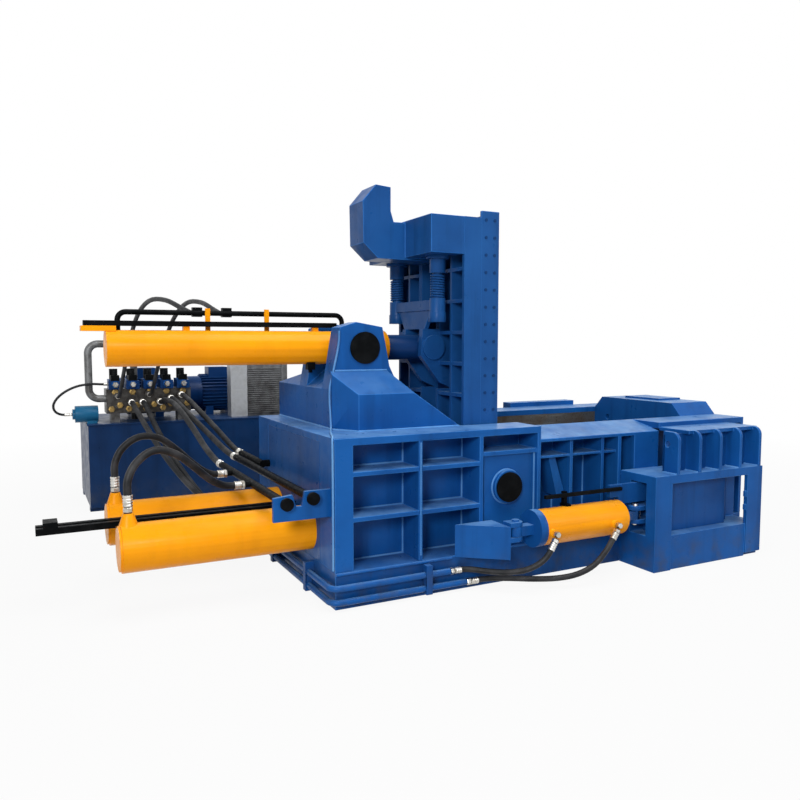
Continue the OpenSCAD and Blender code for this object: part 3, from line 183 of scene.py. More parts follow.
def lofted(mesh_build, rings):
    corners = [[mesh_build.verts.new(p) for p in outline] for outline in rings]
    sides = len(rings[0])
    for low, high in zip(corners, corners[1:]):
        for k in range(sides):
            mesh_build.faces.new((low[k], low[(k + 1) % sides], high[(k + 1) % sides], high[k]))
    mesh_build.faces.new(corners[0][::-1])
    mesh_build.faces.new(corners[-1])


def swept(mesh_build, path, radius, sides):
    rings = []
    side = None
    for i, point in enumerate(path):
        heading = (path[min(i + 1, len(path) - 1)] - path[max(i - 1, 0)]).normalized()
        side = across(heading) if side is None else (side - side.dot(heading) * heading).normalized()
        r = radius(i) if callable(radius) else radius
        rings.append(ring(point, side, heading.cross(side), r, sides))
    lofted(mesh_build, rings)


def turned(mesh_build, start, towards, profile, sides=28):
    heading = (towards - start).normalized()
    side = across(heading)
    up = heading.cross(side)
    lofted(mesh_build, [ring(start + heading * along, side, up, r, sides) for along, r in profile])


def eased(points, per_gap=4):
    path = [points[0]]
    for i in range(1, len(points) - 2):
        a, b = points[i], points[i + 1]
        reach = (b - a).length
        leave = (points[i + 1] - points[i - 1]).normalized() * reach
        arrive = (points[i + 2] - points[i]).normalized() * reach
        if i == 1:
            leave = (points[1] - points[0]).normalized() * reach
        if i == len(points) - 3:
            arrive = (points[-1] - points[-2]).normalized() * reach
        for k in range(per_gap):
            t = k / per_gap
            path.append((2 * t**3 - 3 * t**2 + 1) * a + (t**3 - 2 * t**2 + t) * leave
                        + (3 * t**2 - 2 * t**3) * b + (t**3 - t**2) * arrive)
    return path + [points[-2], points[-1]]


def crimped_end(mesh_build, port, hose_start, r):
    length = (hose_start - port).length
    stem, groove, sleeve = 0.62 * r, 0.9 * r, 0.36 * length
    turned(mesh_build, port, hose_start, [(0, stem), (sleeve, stem)], 20)
    nut = [(0.05, groove), (0.08, r), (0.3, r), (0.33, groove)]
    turned(mesh_build, port, hose_start, [(share * length, out) for share, out in nut], 6)
    profile = [(sleeve, 0.8 * r), (sleeve + 0.002, r)]
    for k in range(1, 4):
        at = sleeve + k * (length - sleeve) / 4
        profile += [(at - 0.005, r), (at - 0.002, groove), (at + 0.002, groove), (at + 0.005, r)]
    turned(mesh_build, port, hose_start, profile + [(length - 0.002, r), (length, groove)])


def hose(name, route_mm, radius_mm, carrier, swings_with=None):
    points = [Vector(p) * MM for p in route_mm]
    path = eased(points)
    r = radius_mm * MM
    sleeve_r = r + (SLEEVE_WALL if radius_mm > THIN_HOSE_R else THIN_SLEEVE_WALL)
    build = bmesh.new()
    swept(build, path, r, 16)
    tube = piece(name, build, rubber, None if swings_with else "press", sharp=60)
    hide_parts(carrier)
    build = bmesh.new()
    crimped_end(build, points[0], points[1], sleeve_r)
    if not swings_with:
        crimped_end(build, points[-1], points[-2], sleeve_r)
    ends = piece(name + "_ends", build, zinc, "press")
    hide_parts("hose_fittings")
    if swings_with:
        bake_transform(tube)


hose("near_main_hose", [
    (-2350, -330, 615), (-2350, -330, 720), (-2345, -328, 810), (-2295, -310, 900), (-2190, -270, 960),
    (-2060, -220, 925), (-1940, -170, 830), (-1840, -115, 740), (-1745, -65, 680), (-1660, -50, 665),
    (-1590, -50, 665)], MAIN_HOSE_R, "main_hoses")
hose("far_main_hose", [
    (-2350, 330, 615), (-2350, 330, 720), (-2345, 331, 810), (-2295, 334, 905), (-2190, 342, 970),
    (-2065, 360, 955), (-1950, 380, 870), (-1845, 400, 770), (-1745, 416, 690), (-1660, 420, 665),
    (-1590, 420, 665)], MAIN_HOSE_R, "main_hoses")

# Hoses of the gate cylinder
# Two thinner rubber hoses that leave the ends of the foot pipes, sag to the floor and rise to the unions
# screwed into the front of the gate cylinder.
GATE_HOSE_R = 19
hose("left_gate_hose", [
    (-480, -815, 140), (-400, -815, 140), (-320, -840, 136), (-235, -910, 130), (-145, -990, 135),
    (-50, -1060, 160), (32, -1105, 215), (86, -1115, 280), (127, -1115, 350)], GATE_HOSE_R,
    "gate_hoses")
hose("right_gate_hose", [
    (-360, -815, 55), (-270, -815, 55), (-170, -835, 55), (-60, -900, 57), (60, -985, 60),
    (190, -1060, 68), (320, -1105, 90), (440, -1125, 140), (543, -1120, 220), (604, -1115, 290),
    (645, -1115, 350)], GATE_HOSE_R, "gate_hoses")
FORWARD = Vector((0, -1, 0))
PORT_Y, PORT_Z = -1.095, 0.374
PORT_UNION = [(0, 0.017), (0.004, 0.02), (0.034, 0.02), (0.038, 0.017)]
build = bmesh.new()
for port_x in (0.135, 0.655):
    port = Vector((port_x, PORT_Y, PORT_Z))
    turned(build, port, port + FORWARD, PORT_UNION, 6)
port_unions = piece("gate_port_unions", build, zinc, "press")
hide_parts("hose_fittings")

# Hoses from the power unit
# Five pressure and return hoses of the same rubber, screwed to the valve manifold and hung across to the
# header pipes and the foot pipes at the press's left end.
POWER_HOSE_R = 24
hose("power_hose_1", [
    (-1700, 2600, 1030), (-1700, 2510, 1030), (-1692, 2280, 1065), (-1664, 1950, 1040), (-1614, 1550, 900),
    (-1562, 1200, 735), (-1535, 880, 665), (-1535, 800, 665)], POWER_HOSE_R, "power_hoses")
hose("power_hose_2", [
    (-1600, 2600, 1060), (-1600, 2510, 1060), (-1588, 2250, 1035), (-1540, 1930, 940), (-1460, 1560, 810),
    (-1395, 1290, 710), (-1375, 1080, 685), (-1375, 1000, 685)], POWER_HOSE_R, "power_hoses")
hose("power_hose_3", [
    (-1500, 2600, 1090), (-1500, 2510, 1090), (-1488, 2270, 1060), (-1440, 1980, 965), (-1370, 1650, 835),
    (-1318, 1380, 730), (-1305, 1180, 700), (-1305, 1100, 700)], POWER_HOSE_R, "power_hoses")
hose("power_hose_4", [
    (-1960, 2600, 1030), (-1960, 2510, 1030), (-1950, 2330, 985), (-1890, 2040, 820), (-1780, 1740, 590),
    (-1620, 1420, 360), (-1440, 1080, 195), (-1320, 820, 142), (-1285, 690, 140), (-1285, 600, 140)],
    POWER_HOSE_R, "power_hoses")
hose("power_hose_5", [
    (-1860, 2600, 1030), (-1860, 2510, 1030), (-1850, 2320, 975), (-1800, 2020, 790), (-1690, 1700, 530),
    (-1530, 1360, 270), (-1370, 1020, 100), (-1300, 800, 57), (-1285, 690, 55), (-1285, 600, 55)],
    POWER_HOSE_R, "power_hoses")

# Pilot hose
# A thin rubber hose with crimped ends, screwed into the first valve and looped round in front of the steel
# pipe to the return filter.
PILOT_HOSE_R = 11
hose("pilot_hose", [
    (-2140, 2700, 1200), (-2190, 2694, 1200), (-2300, 2668, 1206), (-2430, 2652, 1186), (-2550, 2660, 1122),
    (-2620, 2690, 1032), (-2608, 2730, 955), (-2530, 2758, 920), (-2462, 2760, 920)], PILOT_HOSE_R,
    "power_hoses")

# Hoses of the lid cylinder
# Two long thin rubber hoses from the manifold up to the blocks on the lid cylinder's pipe. They hang free.
LID_HOSE_R = 17
hose("lid_hose_1", [
    (-2080, 2600, 1090), (-2080, 2520, 1090), (-2080, 2350, 1140), (-2075, 2050, 1350), (-2065, 1700, 1600),
    (-2050, 1330, 1800), (-2015, 950, 1900), (-1955, 600, 1890), (-1885, 340, 1820), (-1850, 180, 1784),
    (-1850, 100, 1784)], LID_HOSE_R, "lid_hoses", "lid_cylinder")
hose("lid_hose_2", [
    (-1800, 2600, 1100), (-1800, 2520, 1100), (-1800, 2350, 1150), (-1795, 2050, 1360), (-1785, 1700, 1600),
    (-1770, 1330, 1790), (-1745, 950, 1890), (-1710, 600, 1880), (-1675, 340, 1815), (-1660, 180, 1784),
    (-1660, 100, 1784)], LID_HOSE_R, "lid_hoses", "lid_cylinder")

# Studio
# A pale floor that runs out to a white surround, a soft lamp at the left front, a broad one overhead and
# a weak one on the right.
FLOOR_HALF = 30.0
SHADOW_REACH, WHITE_FROM, NEAR_GLOW = 3.0, 9.0, 0.92
SKY_LIGHT = 0.17
build = bmesh.new()
bmesh.ops.create_grid(build, x_segments=1, y_segments=1, size=FLOOR_HALF)


def shown_rays(nodes, links):
    kind = nodes.new("ShaderNodeLightPath")
    total = kind.outputs["Is Camera Ray"]
    for ray in ("Is Glossy Ray", "Is Transmission Ray"):
        either = nodes.new("ShaderNodeMath")
        either.operation = "MAXIMUM"
        links.new(total, either.inputs[0])
        links.new(kind.outputs[ray], either.inputs[1])
        total = either.outputs["Value"]
    return total


def studio_floor():
    material, nodes, links, shader = new_material("studio_floor")
    shader.inputs["Base Color"].default_value = (0.55, 0.55, 0.55, 1)
    shader.inputs["Roughness"].default_value = 0.9
    glow = nodes.new("ShaderNodeEmission")
    glow.inputs["Color"].default_value = (1, 1, 1, 1)
    glow.inputs["Strength"].default_value = 1.0
    blend = nodes.new("ShaderNodeMixShader")
    coords = nodes.new("ShaderNodeTexCoord")
    reach = nodes.new("ShaderNodeVectorMath")
    reach.operation = "LENGTH"
    links.new(coords.outputs["Object"], reach.inputs[0])
    fade = spread(nodes, links, reach.outputs["Value"], SHADOW_REACH, WHITE_FROM, NEAR_GLOW, 1.0)
    links.new(times(nodes, links, shown_rays(nodes, links), fade), blend.inputs["Fac"])
    links.new(shader.outputs["BSDF"], blend.inputs[1])
    links.new(glow.outputs["Emission"], blend.inputs[2])
    links.new(blend.outputs["Shader"], nodes["Material Output"].inputs["Surface"])
    return material


piece("floor", build, studio_floor())

world = bpy.data.worlds.new("studio")
bpy.context.scene.world = world
world.use_nodes = True
world_nodes, world_links = world.node_tree.nodes, world.node_tree.links
backdrop = world_nodes["Background"]
backdrop.inputs["Color"].default_value = (1, 1, 1, 1)
shown = shown_rays(world_nodes, world_links)
sky_level = spread(world_nodes, world_links, shown, 0.0, 1.0, SKY_LIGHT, 1.0)
world_links.new(sky_level, backdrop.inputs["Strength"])


def soft_lamp(name, place, target, metres, watts):
    lamp = bpy.data.lights.new(name, "AREA")
    lamp.energy = watts
    lamp.size = metres
    holder = bpy.data.objects.new(name, lamp)
    holder.location = place
    holder.rotation_euler = (Vector(target) - Vector(place)).to_track_quat("-Z", "Y").to_euler()
    bpy.context.scene.collection.objects.link(holder)


soft_lamp("key", (-7.4, -8.4, 4.6), (0, 0, 0.8), metres=2.4, watts=640)
soft_lamp("overhead", (0.0, -2.5, 8.5), (0, 0, 0.8), metres=6.0, watts=600)
soft_lamp("fill", (7.0, -5.0, 4.5), (0.5, 0, 0.8), metres=4.0, watts=120)
bpy.context.scene.view_settings.view_transform = "Standard"

# Plinth
# A hollow base of heavy plate, welded shut and sprayed blue with the rest, with dust and splashes near
# the floor.
BLUE = (0.008, 0.098, 0.355)
DEEP_BLUE = (0.005, 0.064, 0.25)
MUD, PRIMER = (0.055, 0.06, 0.065), (0.10, 0.085, 0.075)
SPLASH_TOP = 0.30
BEVEL, FINE_BEVEL, THIN_BEVEL = 0.004, 0.003, 0.002
CORNER_JOIN = 0.00004


def enamel(name, base, shade, dust_and_sheen, gloss=0.34, soiled=True):
    material, nodes, links, shader = new_material(name)
    coords = nodes.new("ShaderNodeTexCoord")
    place = nodes.new("ShaderNodeSeparateXYZ")
    facing = nodes.new("ShaderNodeSeparateXYZ")
    links.new(coords.outputs["Object"], place.inputs["Vector"])
    links.new(coords.outputs["Normal"], facing.inputs["Vector"])
    patchy = spread(nodes, links, cloud(nodes, links, 2.3, 5.0), 0.36, 0.68, 0.0, 0.85)
    colour = mixed(nodes, links, patchy, base, shade)
    runs = spread(nodes, links, cloud(nodes, links, 5.0, 5.0, (2.2, 2.2, 0.14)), 0.52, 0.74, 0.0,
                  0.4 if soiled else 0.12)
    colour = mixed(nodes, links, runs, colour, tuple(0.5 * c for c in shade))
    # Up-facing faces turn a paler blue: partly settled dust, partly a painted sheen of the bright sky on top
    # faces.
    upward = spread(nodes, links, facing.outputs["Z"], 0.75, 1.0)
    settled_dust_and_sheen = spread(nodes, links, cloud(nodes, links, 6.0, 5.0), 0.3, 0.75, 0.2, 0.8)
    colour = mixed(nodes, links, times(nodes, links, upward, settled_dust_and_sheen), colour, dust_and_sheen)
    if soiled:
        low = spread(nodes, links, place.outputs["Z"], 0.0, SPLASH_TOP, 1.0, 0.0)
        splash = spread(nodes, links, cloud(nodes, links, 9.0, 6.0), 0.45, 0.7, 0.0, 0.7)
        colour = mixed(nodes, links, times(nodes, links, low, splash), colour, MUD)
    chipped = spread(nodes, links, cloud(nodes, links, 150.0, 2.0), 0.79, 0.82)
    bare = spread(nodes, links, cloud(nodes, links, 3.1, 3.0), 0.5, 0.6)
    colour = mixed(nodes, links, times(nodes, links, chipped, bare), colour, PRIMER)
    links.new(colour, shader.inputs["Base Color"])
    dulled = spread(nodes, links, cloud(nodes, links, 11.0, 4.0), 0.3, 0.7, gloss - 0.08, gloss + 0.14)
    links.new(dulled, shader.inputs["Roughness"])
    shader.inputs["Specular IOR Level"].default_value = 0.12
    grain(nodes, links, shader, cloud(nodes, links, 55.0, 2.0), 0.12, 0.002)
    return material


blue_enamel = enamel("blue_enamel", BLUE, DEEP_BLUE, (0.16, 0.34, 0.62))
deep_blue_enamel = enamel("deep_blue_enamel", (0.007, 0.078, 0.29), (0.005, 0.05, 0.2), (0.06, 0.17, 0.42))
# A lighter blue on the bevelled edges: partly worn paint, partly a painted highlight along each edge.
worn_and_highlit_edge = enamel("worn_and_highlit_blue_edge", (0.025, 0.15, 0.46), BLUE, (0.10, 0.27, 0.57))


def dressed(name, material, bevel=BEVEL, edge=None):
    shown = node[name]
    shown.data.materials.clear()
    shown.data.materials.append(material)
    for face in shown.data.polygons:
        face.material_index = 0
    if edge:
        shown.data.materials.append(edge)
    weld = shown.modifiers.new("joined_corners", "WELD")
    weld.merge_threshold = CORNER_JOIN
    if bevel:
        rounding = shown.modifiers.new("rounded_edges", "BEVEL")
        rounding.width = bevel
        rounding.segments = 2
        rounding.limit_method = "ANGLE"
        rounding.angle_limit = math.radians(40)
        rounding.harden_normals = True
        rounding.material = 1 if edge else -1
    return shown


def toned(name, bevel, main, *others, edge=None):
    shown = dressed(name, main, bevel, edge)
    for index, (material, is_this) in enumerate(others, len(shown.data.materials)):
        shown.data.materials.append(material)
        for face in shown.data.polygons:
            if is_this(face.center):
                face.material_index = index


dressed("base_frame", deep_blue_enamel, BEVEL, worn_and_highlit_edge)

# Foot pipes and clamps
# Steel pipes bent round the plinth's left corner, held by saddle clamps and painted over with it.
dressed("base_pipes", blue_enamel, bevel=0)
dressed("pipe_clamps", deep_blue_enamel, FINE_BEVEL)

# Side walls
# Thick skins with ribs, shelves and top plates, flame-cut and welded into one wall on each side. The welds
# are left proud and painted over.
for name in ("front_wall", "rear_wall"):
    dressed(name, blue_enamel, BEVEL, worn_and_highlit_edge)
# The beads take a paler blue: partly bare weld metal showing through the paint, partly a painted highlight on
# their ripples.
weld_paint_and_highlight = enamel("weld_paint_and_highlight", (0.13, 0.32, 0.62), (0.03, 0.16, 0.46), (0.2, 0.4, 0.66))
BEAD_R, RIPPLE, TROUGH = 0.010, 0.007, 0.82


def bead(mesh_build, corners, r=BEAD_R):
    path = []
    for a, b in zip(corners, corners[1:]):
        steps = max(2, int((b - a).length / RIPPLE))
        path += [a + (b - a) * (k / steps) for k in range(steps)]
    path.append(corners[-1])
    swept(mesh_build, path, lambda i: r * (1.0 if i % 2 else TROUGH), 6)


def upright_bead(mesh_build, x, y, low, high, r=BEAD_R):
    bead(mesh_build, [Vector((x, y, low)), Vector((x, y, high))], r)


RIGHT, UP = Vector((1, 0, 0)), Vector((0, 0, 1))
BASE_TOP, TOP_PLATE = 0.225, 0.985
SKIN_Y, RIB_EDGE_Y, PANEL_Y = 0.56, 0.78, 0.74
CELL_SIDES = ((-1.13, -0.686), (-0.658, -0.236))
CELL_FLOORS = (BASE_TOP, 0.548, 0.824)
CELL_ROOFS = (0.520, 0.796, TOP_PLATE)
RECESS_RIB_SIDES, RECESS_TOP = (0.529, 0.557, 0.814, 0.842), 0.802
SEAM_X, SEAM_LOW, SEAM_HIGH, SEAM_R = -0.672, 0.26, 0.975, 0.007
PANEL_SIDE_X, PANEL_TOP = 0.23, 0.852
HINGE_Z, HINGE_WELD_R = 0.635, 0.112
for name, side in (("front_wall_welds", -1), ("rear_wall_welds", 1)):
    build = bmesh.new()
    skin_y, rib_edge_y, panel_y = side * SKIN_Y, side * RIB_EDGE_Y, side * PANEL_Y
    for left, right in CELL_SIDES:
        for low, high in zip(CELL_FLOORS, CELL_ROOFS):
            outline = ((left, low), (right, low), (right, high), (left, high), (left, low))
            bead(build, [Vector((x, skin_y, z)) for x, z in outline])
    for rib_x in RECESS_RIB_SIDES:
        upright_bead(build, rib_x, skin_y, BASE_TOP, RECESS_TOP)
    upright_bead(build, SEAM_X, rib_edge_y, SEAM_LOW, SEAM_HIGH, SEAM_R)
    upright_bead(build, PANEL_SIDE_X, panel_y, BASE_TOP, PANEL_TOP)
    collar = ring(Vector((0, panel_y, HINGE_Z)), RIGHT, UP, HINGE_WELD_R, 60)
    bead(build, collar + collar[:1])
    piece(name, build, weld_paint_and_highlight, "press", sharp=60)

# Left end plate, deck and channel roof
# Flat steel plates welded between the two walls: the end plate holds the main cylinders, and the deck carries
# the towers.
for name in ("left_end_plate", "ram_channel_cover"):
    dressed(name, deep_blue_enamel)
dressed("deck_plate", blue_enamel, BEVEL, worn_and_highlit_edge)

# Painted conduit
# A thin steel conduit for the lid sensor's cable, clipped down the tower's cheek and hood and the front post,
# and painted over with them.
CONDUIT_R = 0.007
build = bmesh.new()
conduit_mm = [
    (-1022, -308, 1672), (-1022, -308, 1640), (-1062, -308, 1420), (-1091, -308, 1292), (-1091, -322, 1100),
    (-1096, -340, 1042), (-1170, -520, 1037), (-1238, -720, 1037), (-1258, -768, 1010), (-1258, -770, 700),
    (-1258, -770, 300), (-1258, -770, 240)]
swept(build, eased([Vector(p) * MM for p in conduit_mm], 6), CONDUIT_R, 8)
# The conduit takes the paler weld blue, a painted highlight along its length.
piece("painted_conduit", build, weld_paint_and_highlight, "press", sharp=60)

# Wear plates of the chamber
# Bolted plates of hard steel, unpainted inside, scraped bright and then rusted by the scrap.


def scraped_steel():
    material, nodes, links, shader = new_material("scraped_steel")
    rust = spread(nodes, links, cloud(nodes, links, 5.0, 6.0), 0.4, 0.66)
    colour = mixed(nodes, links, rust, (0.085, 0.085, 0.082), (0.055, 0.040, 0.030))
    scrape = spread(nodes, links, cloud(nodes, links, 16.0, 4.0, (0.12, 1, 1.6)), 0.55, 0.72)
    colour = mixed(nodes, links, scrape, colour, (0.17, 0.165, 0.155))
    pitted = spread(nodes, links, cloud(nodes, links, 70.0, 3.0), 0.55, 0.7)
    colour = mixed(nodes, links, pitted, colour, (0.022, 0.019, 0.017))
    links.new(colour, shader.inputs["Base Color"])
    shader.inputs["Metallic"].default_value = 0.35
    links.new(spread(nodes, links, rust, 0.0, 1.0, 0.45, 0.75), shader.inputs["Roughness"])
    grain(nodes, links, shader, cloud(nodes, links, 45.0, 5.0), 0.35, 0.004)
    return material


wear_plate = scraped_steel()
for name in ("chamber_floor", "front_liner", "rear_liner"):
    dressed(name, wear_plate, THIN_BEVEL)

# End wall
# A heavy cross beam of welded plate with a humped top. It closes the chamber and takes the lid's beak.
dressed("end_wall", blue_enamel, BEVEL, worn_and_highlit_edge)

# Discharge portal and its gill plates
# Flame-cut posts, beam and sill welded to the front wall, stiffened above the window by rounded gill plates.


def boxed(mesh_build, low, high):
    middle = [(a + b) / 2 for a, b in zip(low, high)]
    size = [b - a for a, b in zip(low, high)]
    place = Matrix.Translation(middle) @ Matrix.Diagonal((*size, 1.0))
    bmesh.ops.create_cube(mesh_build, size=1.0, matrix=place)


for name in ("discharge_portal", "portal_gills"):
    dressed(name, blue_enamel, BEVEL, worn_and_highlit_edge)
GILL_COUNT, GILL_X0, GILL_T, GILL_PITCH = 5, 1.182, 0.026, 0.2095
GILL_FRONT, GILL_BACK = -1.112, -0.985
BEAM_Z, GILL_TOP, BACK_PLATE_END = 0.673, 0.942, 2.02
build = bmesh.new()
for k in range(GILL_COUNT):
    gill_x = GILL_X0 + k * GILL_PITCH
    for x in (gill_x, gill_x + GILL_T):
        bead(build, [Vector((x, GILL_FRONT, BEAM_Z)), Vector((x, GILL_BACK, BEAM_Z))])
piece("gill_welds", build, weld_paint_and_highlight, "press", sharp=60)

# A dark plate closing the backs of the gills. Its darker blue is painted shade in the deep gaps between them.
build = bmesh.new()
boxed(build, (GILL_X0, -0.996, BEAM_Z), (BACK_PLATE_END, -0.98, GILL_TOP))
piece("gill_back_plate", build, deep_blue_enamel, "press")

# Towers
# Thick trunnion cheeks with sloping hoods of bent plate, welded to the deck on both sides of the lid
# cylinder.
for name in ("front_tower", "rear_tower"):
    dressed(name, blue_enamel, BEVEL, worn_and_highlit_edge)
FRAME_TOP, HOOD_ROOF = 1.03, 1.41
HOOD_FOOT = ((-1.083, 0.77), (-1.083, -0.33), (-0.974, -0.51), (-0.232, -0.51))
ROOF_SEAMS, ROOF_SEAM_END, ROOF_SEAM_R = ((-1.05, -0.3), (-0.92, 0.3)), -0.676, 0.009
build = bmesh.new()
bead(build, [Vector((x, y, FRAME_TOP)) for x, y in HOOD_FOOT])
for x, y in ROOF_SEAMS:
    bead(build, [Vector((x, y, HOOD_ROOF)), Vector((ROOF_SEAM_END, y, HOOD_ROOF))], ROOF_SEAM_R)
piece("tower_welds", build, weld_paint_and_highlight, "press", sharp=60)

# Hinge shaft, hinge caps and trunnion caps
# A ground steel shaft, and black round cover plates over its ends and over the trunnion pins.


def satin_black():
    material, nodes, links, shader = new_material("satin_black")
    dusty = spread(nodes, links, cloud(nodes, links, 14.0, 5.0), 0.45, 0.75, 0.0, 0.7)
    colour = mixed(nodes, links, dusty, (0.002, 0.0025, 0.003), (0.008, 0.009, 0.010))
    rubbed = spread(nodes, links, cloud(nodes, links, 40.0), 0.3, 0.7, 0.32, 0.55)
    links.new(colour, shader.inputs["Base Color"])
    links.new(rubbed, shader.inputs["Roughness"])
    shader.inputs["Specular IOR Level"].default_value = 0.04
    return material


black_enamel = satin_black()
dressed("hinge_shaft", zinc, bevel=0)
for name in ("hinge_caps", "trunnion_caps"):
    dressed(name, black_enamel, FINE_BEVEL)

# Lid
# A slab stiffened with webs and ribs on its outer side, with a wear plate on the inner one and strips bolted
# along both edges. The hooked beak locks on the end wall; the two spring columns cushion it.
lid_enamel = enamel("lid_enamel", (0.012, 0.086, 0.285), (0.007, 0.055, 0.2), (0.14, 0.31, 0.58))
# A darker blue: painted shade on the backs of the lid's cells, the rod end and the pump motors. The valve
# coils also use it.
painted_shade_enamel = enamel("painted_shade_enamel", (0.004, 0.036, 0.14), (0.003, 0.024, 0.10), (0.03, 0.10, 0.28))
SLAB_BACK, NEAR = -0.046, 0.002
for name in ("lid_side_strips", "lid_beak", "lid_hanger"):
    dressed(name, lid_enamel, BEVEL, worn_and_highlit_edge)
# The backs of the lid's cells take the darker blue as painted shade in their recesses.
toned("lid_frame", BEVEL, lid_enamel, (painted_shade_enamel, lambda middle: abs(middle.x - SLAB_BACK) < NEAR),
      edge=worn_and_highlit_edge)
dressed("lid_columns", lid_enamel, FINE_BEVEL)
dressed("lid_face_plate", wear_plate, THIN_BEVEL)
bolt_paint = enamel("bolt_paint", (0.004, 0.04, 0.15), (0.003, 0.03, 0.11), (0.01, 0.07, 0.22))
dressed("lid_bolts", bolt_paint, bevel=0)
dressed("lid_springs", lid_enamel, bevel=0)

# Lid cylinder, its rod and rod end
# A yellow barrel that rocks in the towers, with a black sensor rail and an oil pipe along its top, and a blue
# rod end between the lid's ears.


def patchy_metal(name, clean, dull, patches, fade, rough, metallic):
    material, nodes, links, shader = new_material(name)
    patch = spread(nodes, links, cloud(nodes, links, *patches), *fade)
    links.new(mixed(nodes, links, patch, clean, dull), shader.inputs["Base Color"])
    links.new(spread(nodes, links, patch, 0.0, 1.0, *rough), shader.inputs["Roughness"])
    shader.inputs["Metallic"].default_value = metallic
    return material


# The third yellow goes on up-facing faces: dust and a painted sheen.
YELLOW, DEEP_YELLOW, YELLOW_DUST_AND_SHEEN = (0.96, 0.36, 0.003), (0.84, 0.295, 0.003), (0.94, 0.42, 0.03)
yellow_enamel = enamel("yellow_enamel", YELLOW, DEEP_YELLOW, YELLOW_DUST_AND_SHEEN, gloss=0.3, soiled=False)
chrome = patchy_metal("chromed_rod", (0.72, 0.73, 0.75), (0.5, 0.5, 0.49),
                      patches=(8.0, 3.0), fade=(0.4, 0.7), rough=(0.1, 0.24), metallic=1.0)
dressed("lid_cylinder", yellow_enamel, FINE_BEVEL)
dressed("lid_sensor_rail", black_enamel, THIN_BEVEL)
PIPE_Y, PIPE_Z, PIPE_R, PIPE_BEND, BEND_STEPS = 0.062, 1.784, 0.017, 0.05, 8
LEFT_LEG_X, LEFT_FOOT, RIGHT_LEG_X, RIGHT_FOOT = -2.335, 1.645, -0.85, 1.66
BLOCK_HALF, BLOCK_FRONT, BLOCK_BACK, BLOCK_LOW, BLOCK_HIGH = 0.03, 0.054, 0.1, 1.76, 1.82
FITTING_END, FITTING_R = 0.18, 0.021
build = bmesh.new()
run = [Vector((LEFT_LEG_X, PIPE_Y, LEFT_FOOT))]
for bend_x, first_deg in ((LEFT_LEG_X + PIPE_BEND, 180), (RIGHT_LEG_X - PIPE_BEND, 90)):
    middle = Vector((bend_x, PIPE_Y, PIPE_Z - PIPE_BEND))
    for k in range(BEND_STEPS + 1):
        angle = math.radians(first_deg - 90 * k / BEND_STEPS)
        run.append(middle + PIPE_BEND * (math.cos(angle) * RIGHT + math.sin(angle) * UP))
run.append(Vector((RIGHT_LEG_X, PIPE_Y, RIGHT_FOOT)))
swept(build, run, PIPE_R, 20)
fittings = bmesh.new()
for block_x in (-1.85, -1.66):
    boxed(build, (block_x - BLOCK_HALF, BLOCK_FRONT, BLOCK_LOW),
          (block_x + BLOCK_HALF, BLOCK_BACK, BLOCK_HIGH))
    port = Vector((block_x, BLOCK_BACK, PIPE_Z))
    crimped_end(fittings, port, Vector((block_x, FITTING_END, PIPE_Z)), FITTING_R)
bent_pipe = piece("lid_pipe_run", build, black_enamel, "lid_cylinder", sharp=60)
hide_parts("lid_pipe")
pipe_fittings = piece("lid_pipe_fittings", fittings, zinc, "lid_cylinder")
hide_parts("lid_pipe")

DRAIN_MIDDLE, DRAIN_PLUG = Vector((-1.126, -0.045, 1.417)), [(0, 0.016), (0.025, 0.016)]
build = bmesh.new()
boxed(build, (-1.152, -0.07, 1.412), (-1.1, -0.02, 1.462))
turned(build, DRAIN_MIDDLE, DRAIN_MIDDLE - UP, DRAIN_PLUG, 6)
piece("lid_drain_valve", build, black_enamel, "lid_cylinder")
dressed("lid_rod", chrome, bevel=0)
# The rod end takes the darker blue as painted shade between the lid's ears.
dressed("rod_eye", painted_shade_enamel, BEVEL)

# Main cylinders, ram and travel bars
# Two yellow barrels bolted into the left end plate. Their rods push the ram head along the chamber floor, and
# the black travel bars behind show where it stands.
dressed("main_cylinders", yellow_enamel, BEVEL)
dressed("main_ram_head", wear_plate, FINE_BEVEL)
dressed("main_rods", chrome, bevel=0)
dressed("travel_bars", black_enamel, THIN_BEVEL)

# Side ram
# Behind the rear wall: a welded guide box, a cylinder on a stand, and the head that presses the bale out.
for name in ("side_ram_housing", "side_stand"):
    dressed(name, blue_enamel, BEVEL, worn_and_highlit_edge)
dressed("side_cylinder", yellow_enamel, BEVEL)
dressed("side_ram_head", wear_plate, FINE_BEVEL)
dressed("side_rod", chrome, bevel=0)

# Discharge gate
# A thick plate in the portal's slot, pulled by a yellow cylinder on a slanted bracket, with a travel bar and
# a limit switch over the barrel.
dressed("gate_bracket", blue_enamel, BEVEL, worn_and_highlit_edge)
dressed("gate_plate", deep_blue_enamel, BEVEL)
GLAND_END = 0.101
toned("gate_cylinder", FINE_BEVEL, yellow_enamel, (blue_enamel, lambda middle: middle.x < GLAND_END))
dressed("gate_rod", chrome, bevel=0)
dressed("gate_pin", zinc, THIN_BEVEL)
for name in ("gate_bar", "gate_switch"):
    dressed(name, black_enamel, THIN_BEVEL)

# Header pipes and their bracket
# Black steel pipes across the left end, carried by a notched plate welded to the front wall.
dressed("pipe_bracket", blue_enamel, FINE_BEVEL)
dressed("steel_pipes", black_enamel, THIN_BEVEL)

